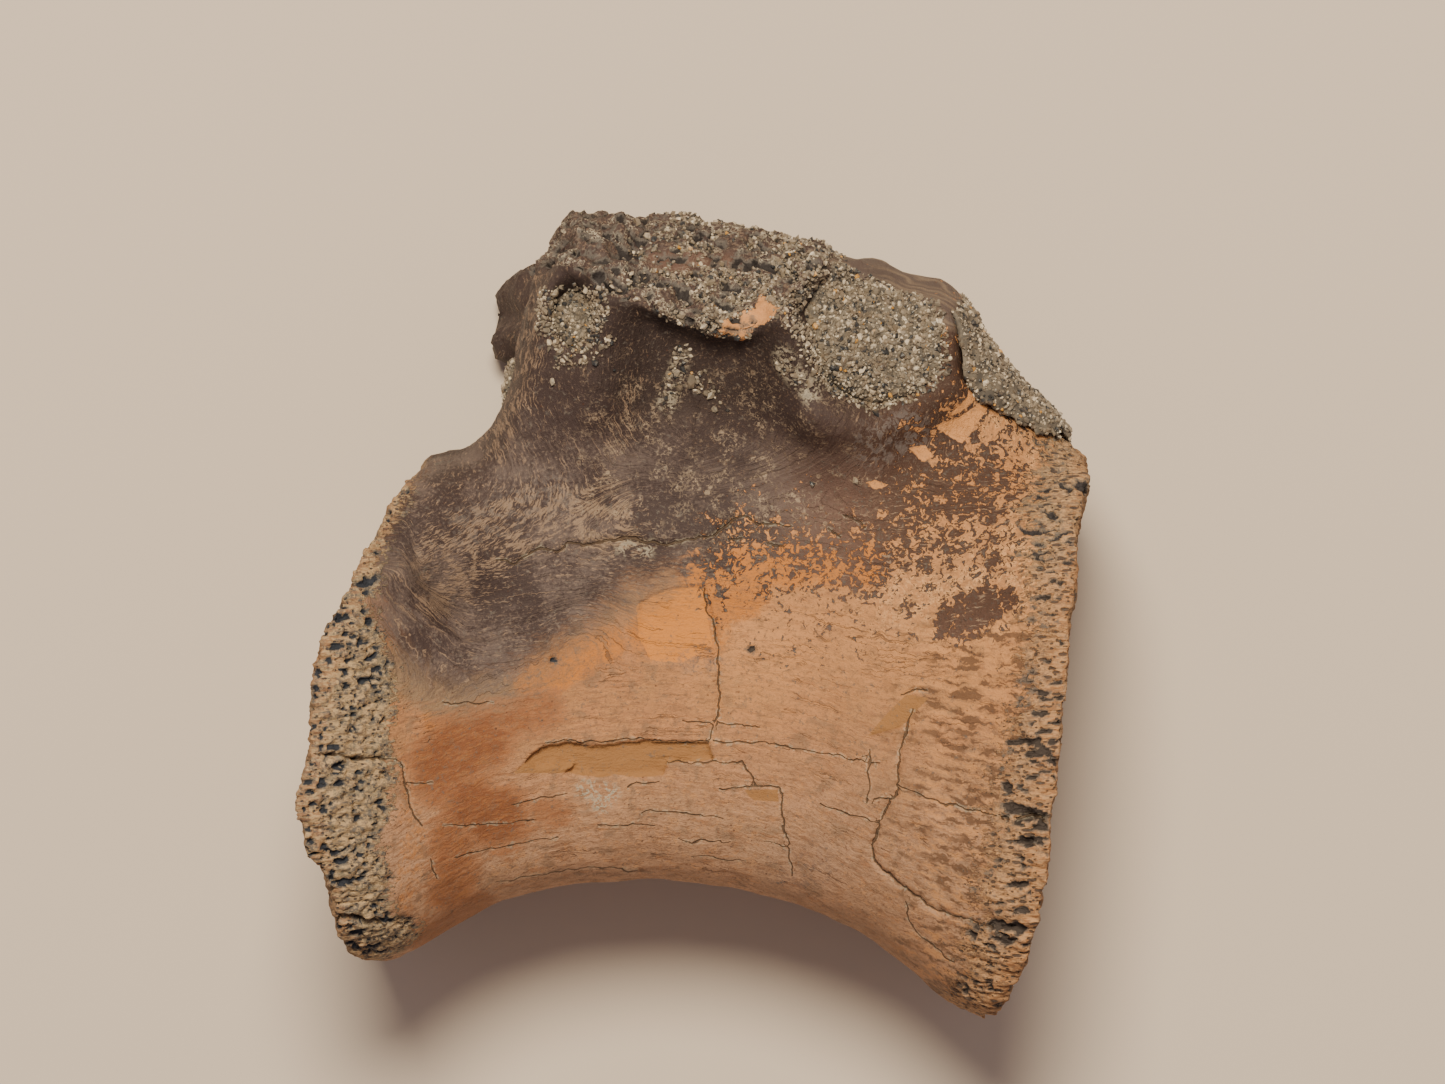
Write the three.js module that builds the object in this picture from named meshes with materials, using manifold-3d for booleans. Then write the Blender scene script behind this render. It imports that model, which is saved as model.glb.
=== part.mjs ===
// A fossil dinosaur vertebra: the centrum of a dorsal vertebra with the broken base of its neural arch,
// lying on its right side. X runs along the centrum from its front end to its back end, +Y is dorsal and
// +Z points up through the left flank. The origin is below the middle of the whole piece, on the surface
// that it lies on. All sizes are in millimetres.

import * as THREE from 'three';
import Module from 'manifold-3d';
import { ImprovedNoise } from 'three/addons/math/ImprovedNoise.js';
import { mergeVertices } from 'three/addons/utils/BufferGeometryUtils.js';

const wasm = await Module();
wasm.setup();

// Driving dimensions.
const WIDTH = 50;              // across the bone, from the left flank's rims to the right flank's
const MIDDLE = WIDTH / 2;      // height of the bone's plane of symmetry
const RIM_HALF = 27.2;         // half the width of the centrum's ends before they were worn
const WAIST_HALF = 13.5;       // half the width of the centrum at its waist
const WAIST_X = -3;            // where the waist is
const FLARE = 2.3;             // how late the flank turns out towards the rims
const OVAL = 2.5;              // power of the oval that a section of the centrum is
const CENTRUM_TOP = 16.2;      // height of the floor of the neural canal
const ARCH_HALF = 13;          // half the width of the neural arch at its foot
const WING_RISE = 4.5;         // how far the arch spreads towards the broken transverse process
const EDGE_HALF = 3;           // half the thickness of the thinnest edges
const END_HOLLOW = 2.6;        // depth of the hollow in each end of the centrum
const RIM_WEAR = 1.6;          // how far the rims' corners are worn down
const RIM_WEAR_REACH = 5;      // width of the worn corner
const REST_WEAR = 0.9;         // what is worn off flat where the rims of the right flank lie on the ground
const CREST_LUMP = 1.4;        // unevenness of the broken top
const CANAL = { y: 21.2, halfHeight: 4.8, halfWidth: 5.4 };
const BREAK_EDGE_HALF = 22;    // half width at the lower edge of the broken process
const PROCESS_ROUNDNESS = 0.65; // corners of the right process: 1 is an ellipse, towards 0 a rectangle
const BREAK_SLOPE = 1.12;      // fall of the broken surface for each millimetre towards the back
const SEAT_GAP = 0.3;          // clearance between the bone and the sandstone in its hollows
const CRUST_HALF = 8.5;        // half the width of the sandstone crust on the upper back edge
const CANAL_PLUG = [-19, 36];  // how far the sandstone reaches in the neural canal, along x

// Steps of the bone's own surface.
const STATIONS = 43;
const LEFT_STEPS = 35;
const RIGHT_STEPS = 17;
const END_RINGS = [0.92, 0.7, 0.36];
// Where along the bone the stations stand closer together: place, reach and how much closer.
const CLOSER = [
  { at: 0, reach: 0.05, more: 1.2 },
  { at: 0.15, reach: 0.05, more: 1.6 },
  { at: 0.82, reach: 0.03, more: 1.2 },
  { at: 1, reach: 0.05, more: 1.2 },
];

// Outlines in the plane of symmetry, as [x, y]. The ends are given from the bottom up, the others from the
// front to the back.
const FRONT_END = [
  [-32.0, -35.0], [-34.4, -34.0], [-35.7, -31.5], [-35.9, -27.0], [-36.8, -24.5], [-38.4, -23.2],
  [-39.1, -18.2], [-38.7, -15.6], [-37.9, -13.8], [-37.8, -8.1], [-36.8, -2.6], [-36.2, -0.6],
  [-34.6, 2.2], [-32.9, 5.6], [-30.9, 9.4], [-29.2, 13.3], [-27.0, 15.7],
];
const BACK_END = [
  [28.8, -40.7], [30.5, -39.2], [32.4, -35.1], [34.1, -29.0], [34.8, -22.2], [34.2, -20.5],
  [35.0, -20.0], [35.4, -16.8], [36.0, -9.6], [36.5, -4.0], [36.2, -1.1], [37.4, 3.4],
  [37.8, 6.3], [37.6, 9.1], [39.0, 13.3], [39.0, 15.8],
];
const KEEL = [
  [-32.0, -35.0], [-29.5, -34.6], [-25.6, -32.0], [-20.6, -29.1], [-13.0, -27.1], [-4.8, -26.5],
  [3.9, -27.3], [10.9, -29.3], [17.5, -32.3], [22.6, -36.8], [25.2, -38.8], [28.8, -40.7],
];
const CREST = [
  [-27.0, 15.7], [-24.9, 16.5], [-22.5, 17.4], [-20.7, 19.1], [-18.9, 22.6], [-18.5, 25.0],
  [-16.3, 34.2], [-13.6, 38.9], [-12.4, 40.7], [-7.4, 40.0], [0.0, 39.9], [7.1, 38.3],
  [10.7, 37.8], [12.8, 36.9], [18.4, 35.2], [24.1, 33.2], [27.0, 31.8], [28.0, 24.5],
  [30.4, 21.8], [33.4, 20.2], [36.4, 18.4], [39.0, 15.8],
];
const CRUST_CREST = [
  [24.1, 33.4], [27.4, 32.1], [29.0, 28.0], [30.6, 25.4], [33.7, 22.2], [36.5, 19.9], [37.6, 17.6], [39.0, 15.9],
];

// Ridges of the neural arch, each a path with its height at the first and the last point.
const LAMINAE = [
  { path: [[-19.6, 15], [-17.8, 23], [-15.6, 34]], rise: [0.5, 3.0], reach: 2.3 },
  { path: [[-12.0, 14], [-9.6, 22], [-8.2, 32]], rise: [0.5, 4.0], reach: 3.0 },
  { path: [[16.0, 14.5], [10.6, 21.5], [8.6, 30]], rise: [1.5, 5.5], reach: 3.4 },
  { path: [[12.0, 19], [18.0, 18.6], [24.6, 22.6], [25.8, 31]], rise: [3.5, 3.0], reach: 2.6 },
];
// The lower edge of the broken transverse process, which overhangs the hollow under it.
const BREAK_EDGE = [
  [-16.6, 34.7], [-12.4, 34.4], [-10.1, 33.1], [-8.2, 31.4], [-5.7, 30.6], [-1.3, 28.7],
  [2.3, 27.5], [4.6, 27.2], [6.1, 28.3], [8.4, 29.7], [14.0, 35.4],
];

// The hollows that hold sandstone: outline, half width at the floor, and half width at the sandstone's top.
const FRONT_FOSSA = {
  outline: [
    [-15.4, 30.6], [-15.0, 33.0], [-13.0, 34.0], [-10.7, 33.0], [-9.3, 31.0], [-8.9, 28.8],
    [-9.8, 26.9], [-11.8, 25.9], [-13.6, 26.6], [-15.0, 28.4],
  ],
  floor: 12, top: 15.4, dome: 1.0,
};
const BACK_FOSSA = {
  outline: [
    [8.6, 29.6], [10.4, 26.2], [11.8, 23.8], [14.0, 21.6], [17.2, 20.2], [20.3, 21.0], [22.8, 22.2],
    [24.6, 24.0], [24.4, 28.2], [23.6, 30.4], [19.8, 31.6], [16.6, 33.8], [13.4, 35.0], [10.6, 33.4],
  ],
  floor: 11, top: 17.0, dome: 1.2,
};

// Flakes lost from the left flank.
const SPALLS = [
  {
    outline: [
      [-18.3, -15.9], [-15.5, -13.3], [-11, -12.8], [-5, -12.5], [1.1, -13], [1.8, -14.4], [-2.9, -14.9],
      [-3.6, -16.3], [-8.2, -16.2], [-12.2, -15.7], [-14.5, -15.3],
    ],
    depth: 0.7,
  },
  {
    outline: [
      [-5.7, 1.2], [-2.4, 2.6], [0.8, 2.7], [1.7, 0.4], [1.8, -3.2], [-1.5, -4.6], [-4.6, -4.4], [-5.6, -2.2],
    ],
    depth: 0.3,
  },
];
// Cracks of the left flank.
const CRACKS = [
  { path: [[-20.2, 5.3], [-15.4, 6.7], [-12.8, 7.1], [-8.9, 7.3], [-5, 7.1], [-0.3, 7.5], [4.3, 9.6],
    [6.1, 8.9], [9.7, 8.6]], width: 0.6, depth: 0.8 },
  { path: [[0.8, 2.7], [1.7, -1.6], [2.2, -4.4], [2.2, -10.3], [1.4, -12.8]], width: 0.45, depth: 0.6 },
  { path: [[-3.2, -14.8], [4.7, -14.9], [6.1, -17.2], [8.4, -17.3], [9.2, -23.2], [9.6, -26.3]],
    width: 0.45, depth: 0.6 },
  { path: [[23.4, -7.4], [20.1, -8.1], [20.2, -17.4], [18, -21.9], [17.9, -25], [20.8, -27.6],
    [27.7, -30.9]], width: 0.5, depth: 0.7 },
  { path: [[-29.6, -14.7], [-29.2, -16.5], [-28.3, -19.7], [-27.2, -21.5]], width: 0.5, depth: 0.6 },
];

// Grooves between the coarse fibres that run out to the back rim.
const FIBRE_GROOVES = { count: 11, fromY: 1.5, toY: -36, startX: 24, width: 0.7, depth: 0.55 };
// Pores along the worn rims, and the larger ones of the broken process as [x, y, size].
const FRONT_PORES = { count: 20, fromY: -33, toY: 8, least: 1.2, most: 6.2, size: [0.5, 0.85] };
const BACK_PORES = { count: 15, fromY: -37, toY: 12, least: 1, most: 4.2, size: [0.4, 0.65] };
const BREAK_PORES = [
  [-6.2, 36.3, 1.1], [-5.0, 34.4, 0.8], [1.5, 36.4, 0.8], [5.1, 34.3, 0.7], [-10.5, 37.4, 0.7],
  [-1.8, 32.2, 0.6], [8.2, 33.4, 0.7],
];

const noise = new ImprovedNoise();

function clamp(value, low, high) {
  return Math.min(high, Math.max(low, value));
}

function lerp(a, b, share) {
  return a + (b - a) * share;
}

function smoothstep(low, high, value) {
  const share = clamp((value - low) / (high - low), 0, 1);
  return share * share * (3 - 2 * share);
}

// The larger of two values, with the corner between them rounded over `reach`.
function smoothMax(a, b, reach) {
  const share = clamp(0.5 + (a - b) / (2 * reach), 0, 1);
  return lerp(b, a, share) + reach * share * (1 - share);
}

// A repeatable row of numbers from 0 to 1.
function randomRow(seed) {
  let state = seed;
  return () => {
    state = (state * 1664525 + 1013904223) % 4294967296;
    return state / 4294967296;
  };
}

// The value that a list of [at, value] pairs has at one place, held constant past its ends.
function along(list, at, key = 0) {
  const other = 1 - key;
  const before = list.findLastIndex((point) => point[key] <= at);
  if (before < 0) {
    return list[0][other];
  }
  if (before === list.length - 1) {
    return list[before][other];
  }
  const [a, b] = [list[before], list[before + 1]];
  return lerp(a[other], b[other], (at - a[key]) / (b[key] - a[key]));
}

// The distance from a point to a path, and how far along the path the nearest point is, from 0 to 1.
function nearest(path, x, y) {
  let best = { distance: Infinity, share: 0 };
  for (let i = 0; i < path.length - 1; i += 1) {
    const [ax, ay] = path[i];
    const [bx, by] = path[i + 1];
    const length2 = (bx - ax) ** 2 + (by - ay) ** 2;
    const share = clamp(((x - ax) * (bx - ax) + (y - ay) * (by - ay)) / length2, 0, 1);
    const distance = Math.hypot(x - lerp(ax, bx, share), y - lerp(ay, by, share));
    if (distance < best.distance) {
      best = { distance, share: (i + share) / (path.length - 1) };
    }
  }
  return best;
}

// A quarter round of radius `reach` at an edge.
function roundedEdge(distance, reach) {
  return Math.sqrt(1 - (1 - clamp(distance / reach, 0, 1)) ** 2);
}

// The two ends without their chips, which only the left flank has.
const evenFront = (y) => -38.6 + (y > -18 ? 0.0098 : 0.019) * (y + 18) ** 2;
const evenBack = (y) => 34.6 + (y > -22 ? 0.12 * (y + 22) : -0.0165 * (y + 22) ** 2);

function frontEnd(y, left) {
  return left ? along(FRONT_END, y, 1) : evenFront(clamp(y, -34, 15.7));
}

function backEnd(y, left) {
  return left ? along(BACK_END, y, 1) : evenBack(clamp(y, -40, 15.8));
}

// Half the width of the centrum.
function centrumHalf(x, y) {
  const front = evenFront(clamp(y, -34, 15.7));
  const back = evenBack(clamp(y, -40, 15.8));
  const toRim = x < WAIST_X ? (WAIST_X - x) / (WAIST_X - front) : (x - WAIST_X) / (back - WAIST_X);
  const half = lerp(WAIST_HALF, RIM_HALF, clamp(toRim, 0, 1) ** FLARE);
  const bottom = along(KEEL, x);
  const top = Math.min(along(CREST, x), CENTRUM_TOP);
  const height = clamp(Math.abs(2 * y - bottom - top) / (top - bottom), 0, 1);
  const fromEnd = Math.min(x - front, back - x);
  const wear = RIM_WEAR * (1 - clamp(fromEnd / RIM_WEAR_REACH, 0, 1)) ** 2;
  return Math.max(0, half - wear) * (1 - height ** OVAL) ** (1 / OVAL);
}

// Half the width of the neural arch, with its laminae and the hollows between them.
function archHalf(x, y) {
  const footing = smoothstep(-28, -17, x) * (1 - 0.35 * smoothstep(27, 38, x));
  let half = ARCH_HALF * footing * smoothstep(-10, 3, y);
  half += WING_RISE * smoothstep(13, 32, y) * smoothstep(-20, -13, x) * (1 - smoothstep(10, 17, x));
  for (const { path, rise, reach } of LAMINAE) {
    const { distance, share } = nearest(path, x, y);
    half += lerp(rise[0], rise[1], share) * Math.exp(-((distance / reach) ** 2));
  }
  return half;
}

// 1 on the broken surface of the transverse process and 0 off it.
function onBreak(x, y) {
  const above = y - along(BREAK_EDGE, x);
  return smoothstep(-1.8, 0.6, above) * (1 - smoothstep(12, 15, x)) * smoothstep(-18.5, -15, x);
}

function breakHalf(x, y) {
  return BREAK_EDGE_HALF - BREAK_SLOPE * Math.max(0, y - along(BREAK_EDGE, x)) - 2.5 * smoothstep(-8, -16, x);
}

// The bowl behind the front rim, and the dent under the middle of the arch.
const BOWL = { x: -22.5, y: 0.5, reachX: 8.5, reachY: 6, depth: 2.4 };

function bowlDepth(x, y) {
  const away = Math.hypot((x - BOWL.x) / BOWL.reachX, (y - BOWL.y) / BOWL.reachY);
  return BOWL.depth * (1 - smoothstep(0, 1, away));
}

// Half the width of the whole bone at a point of its plane of symmetry, on its left or its right side.
function boneHalf(x, y, left, crest = CREST, edgeHalf = EDGE_HALF) {
  let half = smoothMax(centrumHalf(x, y), archHalf(x, y), 3.5) - bowlDepth(x, y);
  const broken = onBreak(x, y);
  half = lerp(half, breakHalf(x, y), broken);
  const fromEnd = Math.min(x - evenFront(y), evenBack(y) - x);
  const nearEnd = 1 - smoothstep(1, 7, fromEnd);
  const rough = 0.25 + 0.8 * broken + 0.45 * nearEnd;
  const shift = left ? 0 : 40;
  half += left ? 0 : REST_WEAR * nearEnd;
  half += rough * noise.noise(x * 0.42 + shift, y * 0.42, 3.7);
  half += 0.5 * rough * noise.noise(x * 0.95 + shift, y * 0.95, 8.2);
  half = Math.max(half, edgeHalf);
  half *= roundedEdge(nearest(crest, x, y).distance, 3.2);
  half *= roundedEdge(nearest(KEEL, x, y).distance, 1.6);
  return Math.min(half, MIDDLE);
}

// The shares of the length where the stations stand.
function stationShares() {
  const fine = 400;
  const sums = [0];
  for (let i = 0; i < fine; i += 1) {
    const share = (i + 0.5) / fine;
    const more = CLOSER.reduce((sum, { at, reach, more: add }) => (
      sum + add * Math.exp(-(((share - at) / reach) ** 2))), 0);
    sums.push(sums[i] + 1 + more);
  }
  const places = sums.map((sum, i) => [sum / sums[fine], i / fine]);
  return Array.from({ length: STATIONS + 1 }, (_, i) => along(places, i / STATIONS));
}

// The run of one station over the plane of symmetry: its x at each height, its lowest and its highest point.
function stationRun(share, left, crest) {
  const xAt = (y) => lerp(frontEnd(y, left), backEnd(y, left), share);
  let bottom = -30;
  let top = 20;
  for (let turn = 0; turn < 12; turn += 1) {
    bottom = along(KEEL, xAt(bottom));
    top = along(crest, xAt(top));
  }
  return { xAt, bottom, top };
}

// One ring of points across the bone, up the left side and down the right.
function stationRing(share, { crest, grow, edgeHalf }) {
  const runs = [stationRun(share, true, crest), stationRun(share, false, crest)];
  return Array.from({ length: LEFT_STEPS + RIGHT_STEPS }, (_, i) => {
    const left = i < LEFT_STEPS;
    const way = left ? i / LEFT_STEPS : 1 - (i - LEFT_STEPS) / RIGHT_STEPS;
    const { xAt, bottom, top } = runs[left ? 0 : 1];
    const even = lerp(way, (1 - Math.cos(Math.PI * way)) / 2, 0.45);
    const y = lerp(bottom, top, even);
    const x = xAt(y);
    const atEdge = way === 0 || way === 1;
    const half = atEdge ? 0 : boneHalf(x, y, left, crest, edgeHalf) + grow;
    const z = left ? MIDDLE + half : MIDDLE - half;
    const broken = smoothstep(0.82, 0.97, way) * smoothstep(24, 32, top);
    const lump = CREST_LUMP * broken * (noise.noise(x * 0.32, z * 0.21, 4.4) - 0.25);
    return [x, y + lump + lerp(-grow, grow, way), z];
  });
}

// The rings that close one end of the centrum with a shallow hollow. `inward` is the way into the bone.
function endRings(edge, inward, grow) {
  const centreY = (edge[0][1] + edge[LEFT_STEPS][1]) / 2;
  const evenEnd = inward > 0 ? evenFront : evenBack;
  return END_RINGS.map((scale) => edge.map(([x, y, z]) => {
    const endY = lerp(centreY, y, scale);
    const endX = lerp(evenEnd(endY), x, smoothstep(0.6, 1.2, scale));
    const hollow = END_HOLLOW * (1 - scale ** 2.4) - grow;
    const lump = 0.6 * scale * noise.noise(endY * 0.25, z * 0.25, inward * 5);
    return [endX + hollow * inward + lump, endY, lerp(MIDDLE, z, scale)];
  }));
}

function apart(places, i, k) {
  return Math.hypot(...[0, 1, 2].map((n) => places[i * 3 + n] - places[k * 3 + n]));
}

// A closed skin over rings of points, all of one count, with a fan over the first and the last ring.
function skin(rings) {
  const count = rings[0].length;
  const places = rings.flat(2);
  const faces = [];
  for (let r = 0; r < rings.length - 1; r += 1) {
    for (let i = 0; i < count; i += 1) {
      const next = (i + 1) % count;
      const [a, b] = [r * count + i, r * count + next];
      const [c, d] = [a + count, b + count];
      faces.push(...(apart(places, a, d) < apart(places, b, c) ? [a, c, d, a, d, b] : [a, c, b, b, c, d]));
    }
  }
  for (const [ring, first] of [[rings[0], 0], [rings.at(-1), (rings.length - 1) * count]]) {
    const centre = places.length / 3;
    for (let k = 0; k < 3; k += 1) {
      places.push(ring.reduce((sum, point) => sum + point[k], 0) / count);
    }
    for (let i = 0; i < count; i += 1) {
      const next = (i + 1) % count;
      faces.push(centre, ...(first ? [first + next, first + i] : [i, next]));
    }
  }
  return solidOf(places, faces);
}

function boneSurface({ crest = CREST, grow = 0, edgeHalf = EDGE_HALF } = {}) {
  const rings = stationShares().map((share) => stationRing(share, { crest, grow, edgeHalf }));
  return skin([...endRings(rings[0], 1, grow).reverse(), ...rings, ...endRings(rings.at(-1), -1, grow)]);
}

// A manifold solid from flat lists of places and of triangles, turned so that its faces point out.
function solidOf(places, faces) {
  const geometry = new THREE.BufferGeometry();
  geometry.setAttribute('position', new THREE.BufferAttribute(new Float32Array(places), 3));
  geometry.setIndex(faces);
  return solidFrom(geometry);
}

function solidFrom(geometry) {
  const bare = geometry.clone();
  bare.deleteAttribute('normal');
  bare.deleteAttribute('uv');
  const merged = mergeVertices(bare, 1e-4);
  const vertProperties = Float32Array.from(merged.attributes.position.array);
  const triVerts = Uint32Array.from(merged.index.array);
  const solid = new wasm.Manifold(new wasm.Mesh({ numProp: 3, vertProperties, triVerts }));
  if (solid.volume() >= 0) {
    return solid;
  }
  return new wasm.Manifold(new wasm.Mesh({ numProp: 3, vertProperties, triVerts: triVerts.reverse() }));
}

// A column on an outline of the plane of symmetry, star-shaped round its middle. `low` and `high` give its
// two faces at each x and y, `inset` draws its wall in, and the rings are shares of the way from its middle.
function column(outline, low, high, { inset = 0, lowRings = [], highRings = [] } = {}) {
  const middle = [0, 1].map((k) => outline.reduce((sum, point) => sum + point[k], 0) / outline.length);
  const ring = (share, heightAt) => outline.map(([x, y]) => {
    const reach = Math.hypot(x - middle[0], y - middle[1]);
    const scale = share * (1 - inset / reach);
    const px = lerp(middle[0], x, scale);
    const py = lerp(middle[1], y, scale);
    return [px, py, heightAt(px, py)];
  });
  const lower = [...lowRings, 1].map((share) => ring(share, low));
  const upper = [1, ...highRings.toReversed()].map((share) => ring(share, high));
  return skin([...lower, ...upper]);
}

// A long groove with a V section, cut into one flank along a path.
function groove({ path, width, depth }, surfaceAt, step = 3.6) {
  const points = [];
  for (let i = 0; i < path.length - 1; i += 1) {
    const [ax, ay] = path[i];
    const [bx, by] = path[i + 1];
    const steps = Math.max(1, Math.round(Math.hypot(bx - ax, by - ay) / step));
    for (let k = i ? 1 : 0; k <= steps; k += 1) {
      points.push([lerp(ax, bx, k / steps), lerp(ay, by, k / steps)]);
    }
  }
  const above = 0.8;
  const rings = points.map(([x, y], i) => {
    const [ax, ay] = points[Math.max(0, i - 1)];
    const [bx, by] = points[Math.min(points.length - 1, i + 1)];
    const length = Math.hypot(bx - ax, by - ay);
    const share = i / (points.length - 1);
    const size = 0.25 + 0.75 * Math.sqrt(Math.sin(Math.PI * clamp(share, 0.02, 0.98)));
    const half = (width / 2) * size * (1 + above / depth);
    const [nx, ny] = [(-(by - ay) / length) * half, ((bx - ax) / length) * half];
    const z = surfaceAt(x, y);
    return [[x + nx, y + ny, z + above], [x - nx, y - ny, z + above], [x, y, z - depth * size]];
  });
  return skin(rings);
}

// The tube of the neural canal between two places along x, drawn in by `inset`.
function canalTube(fromX, toX, inset) {
  const sides = 14;
  const steps = Math.round((toX - fromX) / 7);
  const rings = Array.from({ length: steps + 1 }, (_, i) => {
    const x = lerp(fromX, toX, i / steps);
    return Array.from({ length: sides }, (__, k) => {
      const turn = (k / sides) * 2 * Math.PI;
      const lump = 0.5 * noise.noise(x * 0.09, Math.cos(turn) * 1.3, Math.sin(turn) * 1.3);
      return [
        x,
        CANAL.y + (CANAL.halfHeight + lump - inset) * Math.cos(turn),
        MIDDLE + (CANAL.halfWidth + lump - inset) * Math.sin(turn),
      ];
    });
  });
  return skin(rings);
}

// The stump of the right transverse process, which the bone lies on. It is swept from the arch out and
// forward to its flat worn end.
function rightProcess() {
  const sections = [
    { z: 17, x: -5, y: 30, halfX: 8, halfY: 4.8 },
    { z: 10, x: -8.3, y: 30.6, halfX: 10.6, halfY: 5.2 },
    { z: 4, x: -10.2, y: 30.6, halfX: 11.2, halfY: 5.0 },
    { z: 0, x: -10.4, y: 30.4, halfX: 10.2, halfY: 4.4 },
  ];
  const sides = 18;
  const squared = (value) => Math.sign(value) * Math.abs(value) ** PROCESS_ROUNDNESS;
  return skin(sections.map(({ z, x, y, halfX, halfY }) => (
    Array.from({ length: sides }, (_, k) => {
      const turn = (k / sides) * 2 * Math.PI;
      const [across, up] = [Math.cos(turn), Math.sin(turn)];
      const lump = 1 + 0.16 * noise.noise(across * 2.2, up * 2.2, z * 0.3 + 9);
      return [x + halfX * lump * squared(across), y + halfY * lump * squared(up), z];
    }))));
}

// Small open pores: lumps with few faces, drawn out along x, to be cut from the surface.
function pore(x, y, z, size, stretch) {
  const lump = new THREE.OctahedronGeometry(size, 0);
  lump.scale(stretch, 1, 1);
  lump.rotateZ(0.4 * noise.noise(x, y, z));
  lump.translate(x, y, z);
  return solidFrom(lump);
}

const leftSurface = (x, y) => MIDDLE + boneHalf(x, y, true);
const rightSurface = (x, y) => MIDDLE - boneHalf(x, y, false);

// The pores of one rim of the left flank. `inward` is the way from the rim into the bone.
function rimPores({ count, fromY, toY, least, most, size }, endAt, inward, random) {
  return Array.from({ length: count }, (_, i) => {
    const y = lerp(fromY, toY, (i + random()) / count);
    const x = endAt(y, true) + inward * lerp(least, most, random());
    return pore(x, y, leftSurface(x, y), lerp(...size, random()), lerp(1.3, 2.2, random()));
  });
}

function breakPores() {
  return BREAK_PORES.map(([x, y, size]) => pore(x, y, leftSurface(x, y), size, 1.3));
}

// The grooves between coarse fibres that fan out to the back rim.
function fibreGrooves() {
  const { count, fromY, toY, startX, width, depth } = FIBRE_GROOVES;
  const random = randomRow(3);
  return Array.from({ length: count }, (_, i) => {
    const endY = lerp(fromY, toY, (i + 0.5 * random()) / (count - 1));
    const endX = backEnd(endY, true) - lerp(0.8, 2, random());
    const startY = endY * 0.86 - 1.2;
    const path = [[startX + 5 * random() - 0.16 * Math.abs(endY), startY], [endX, endY]];
    return groove({ path, width, depth: depth * lerp(0.7, 1.2, random()) }, leftSurface);
  });
}

function fossaPocket({ outline, floor }, side) {
  const [near, far] = [MIDDLE + side * floor, MIDDLE + side * (MIDDLE + 4)];
  return column(outline, () => Math.min(near, far), () => Math.max(near, far));
}

// The sandstone in one hollow: its lumpy top, its floor and its wall all keep clear of the bone.
function fossaFill({ outline, floor, top, dome }, side) {
  const middleX = outline.reduce((sum, [x]) => sum + x, 0) / outline.length;
  const middleY = outline.reduce((sum, point) => sum + point[1], 0) / outline.length;
  const bottomAt = () => MIDDLE + side * (floor + SEAT_GAP);
  const topAt = (x, y) => {
    const away = Math.hypot(x - middleX, y - middleY) / 8;
    const lump = 0.9 * noise.noise(x * 0.5, y * 0.5, side * 7) + 0.5 * noise.noise(x * 1.1, y * 1.1, side);
    return MIDDLE + side * (top + dome * (1 - away ** 2) + lump);
  };
  const rings = [0.25, 0.5, 0.75, 0.92];
  const inset = SEAT_GAP * 1.2;
  return side > 0
    ? column(outline, bottomAt, topAt, { inset, highRings: rings })
    : column(outline, topAt, bottomAt, { inset, lowRings: rings });
}

function spallPocket({ outline, depth }) {
  const floorAt = (x, y) => leftSurface(x, y) - depth;
  const openAt = (x, y) => leftSurface(x, y) + 3;
  return column(outline, floorAt, openAt, { lowRings: [0.5] });
}

function vertebra() {
  const random = randomRow(7);
  const cuts = [
    canalTube(-45, 45, 0),
    fossaPocket(FRONT_FOSSA, 1),
    fossaPocket(BACK_FOSSA, 1),
    fossaPocket(BACK_FOSSA, -1),
    ...SPALLS.map(spallPocket),
    ...CRACKS.map((crack) => groove(crack, leftSurface)),
    ...fibreGrooves(),
    ...rimPores(FRONT_PORES, frontEnd, 1, random),
    ...rimPores(BACK_PORES, backEnd, -1, random),
    ...breakPores(),
  ];
  return boneSurface().add(rightProcess()).subtract(wasm.Manifold.union(cuts));
}

// The sandstone of the neural canal, with the crust that stands past the bone's own crest at the back.
function canalFill() {
  const crest = [...CREST.filter(([x]) => x < CRUST_CREST[0][0]), ...CRUST_CREST];
  const outside = boneSurface({ crest, edgeHalf: CRUST_HALF });
  const backEdge = solidFrom(new THREE.BoxGeometry(14.5, 20, 30).translate(31.5, 23, MIDDLE));
  const crust = outside.intersect(backEdge).subtract(boneSurface({ grow: SEAT_GAP }));
  const plug = canalTube(...CANAL_PLUG, SEAT_GAP).intersect(outside);
  const bodies = crust.add(plug).decompose();
  return bodies.reduce((largest, body) => (body.volume() > largest.volume() ? body : largest));
}

const boneColour = new THREE.MeshStandardMaterial({ color: 0xb48a66, roughness: 0.6, metalness: 0 });
const sandColour = new THREE.MeshStandardMaterial({ color: 0x94897a, roughness: 0.95, metalness: 0 });

function geometryOf(solid) {
  const { vertProperties, triVerts } = solid.getMesh();
  const geometry = new THREE.BufferGeometry();
  geometry.setAttribute('position', new THREE.BufferAttribute(Float32Array.from(vertProperties), 3));
  geometry.setIndex(Array.from(triVerts));
  geometry.computeVertexNormals();
  return geometry;
}

const fossil = new THREE.Group();

function place(name, solid, material) {
  const mesh = new THREE.Mesh(geometryOf(solid), material);
  mesh.name = name;
  fossil.add(mesh);
}

place('vertebra_bone', vertebra(), boneColour);
place('sandstone_front_fossa', fossaFill(FRONT_FOSSA, 1), sandColour);
place('sandstone_back_fossa', fossaFill(BACK_FOSSA, 1), sandColour);
place('sandstone_far_fossa', fossaFill(BACK_FOSSA, -1), sandColour);
place('sandstone_canal', canalFill(), sandColour);

// The chips and lumps leave the outline a little off the middle, so the whole piece is moved onto it.
const middle = new THREE.Box3().setFromObject(fossil).getCenter(new THREE.Vector3());
fossil.position.set(-middle.x, -middle.y, 0);

export default fossil;
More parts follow.
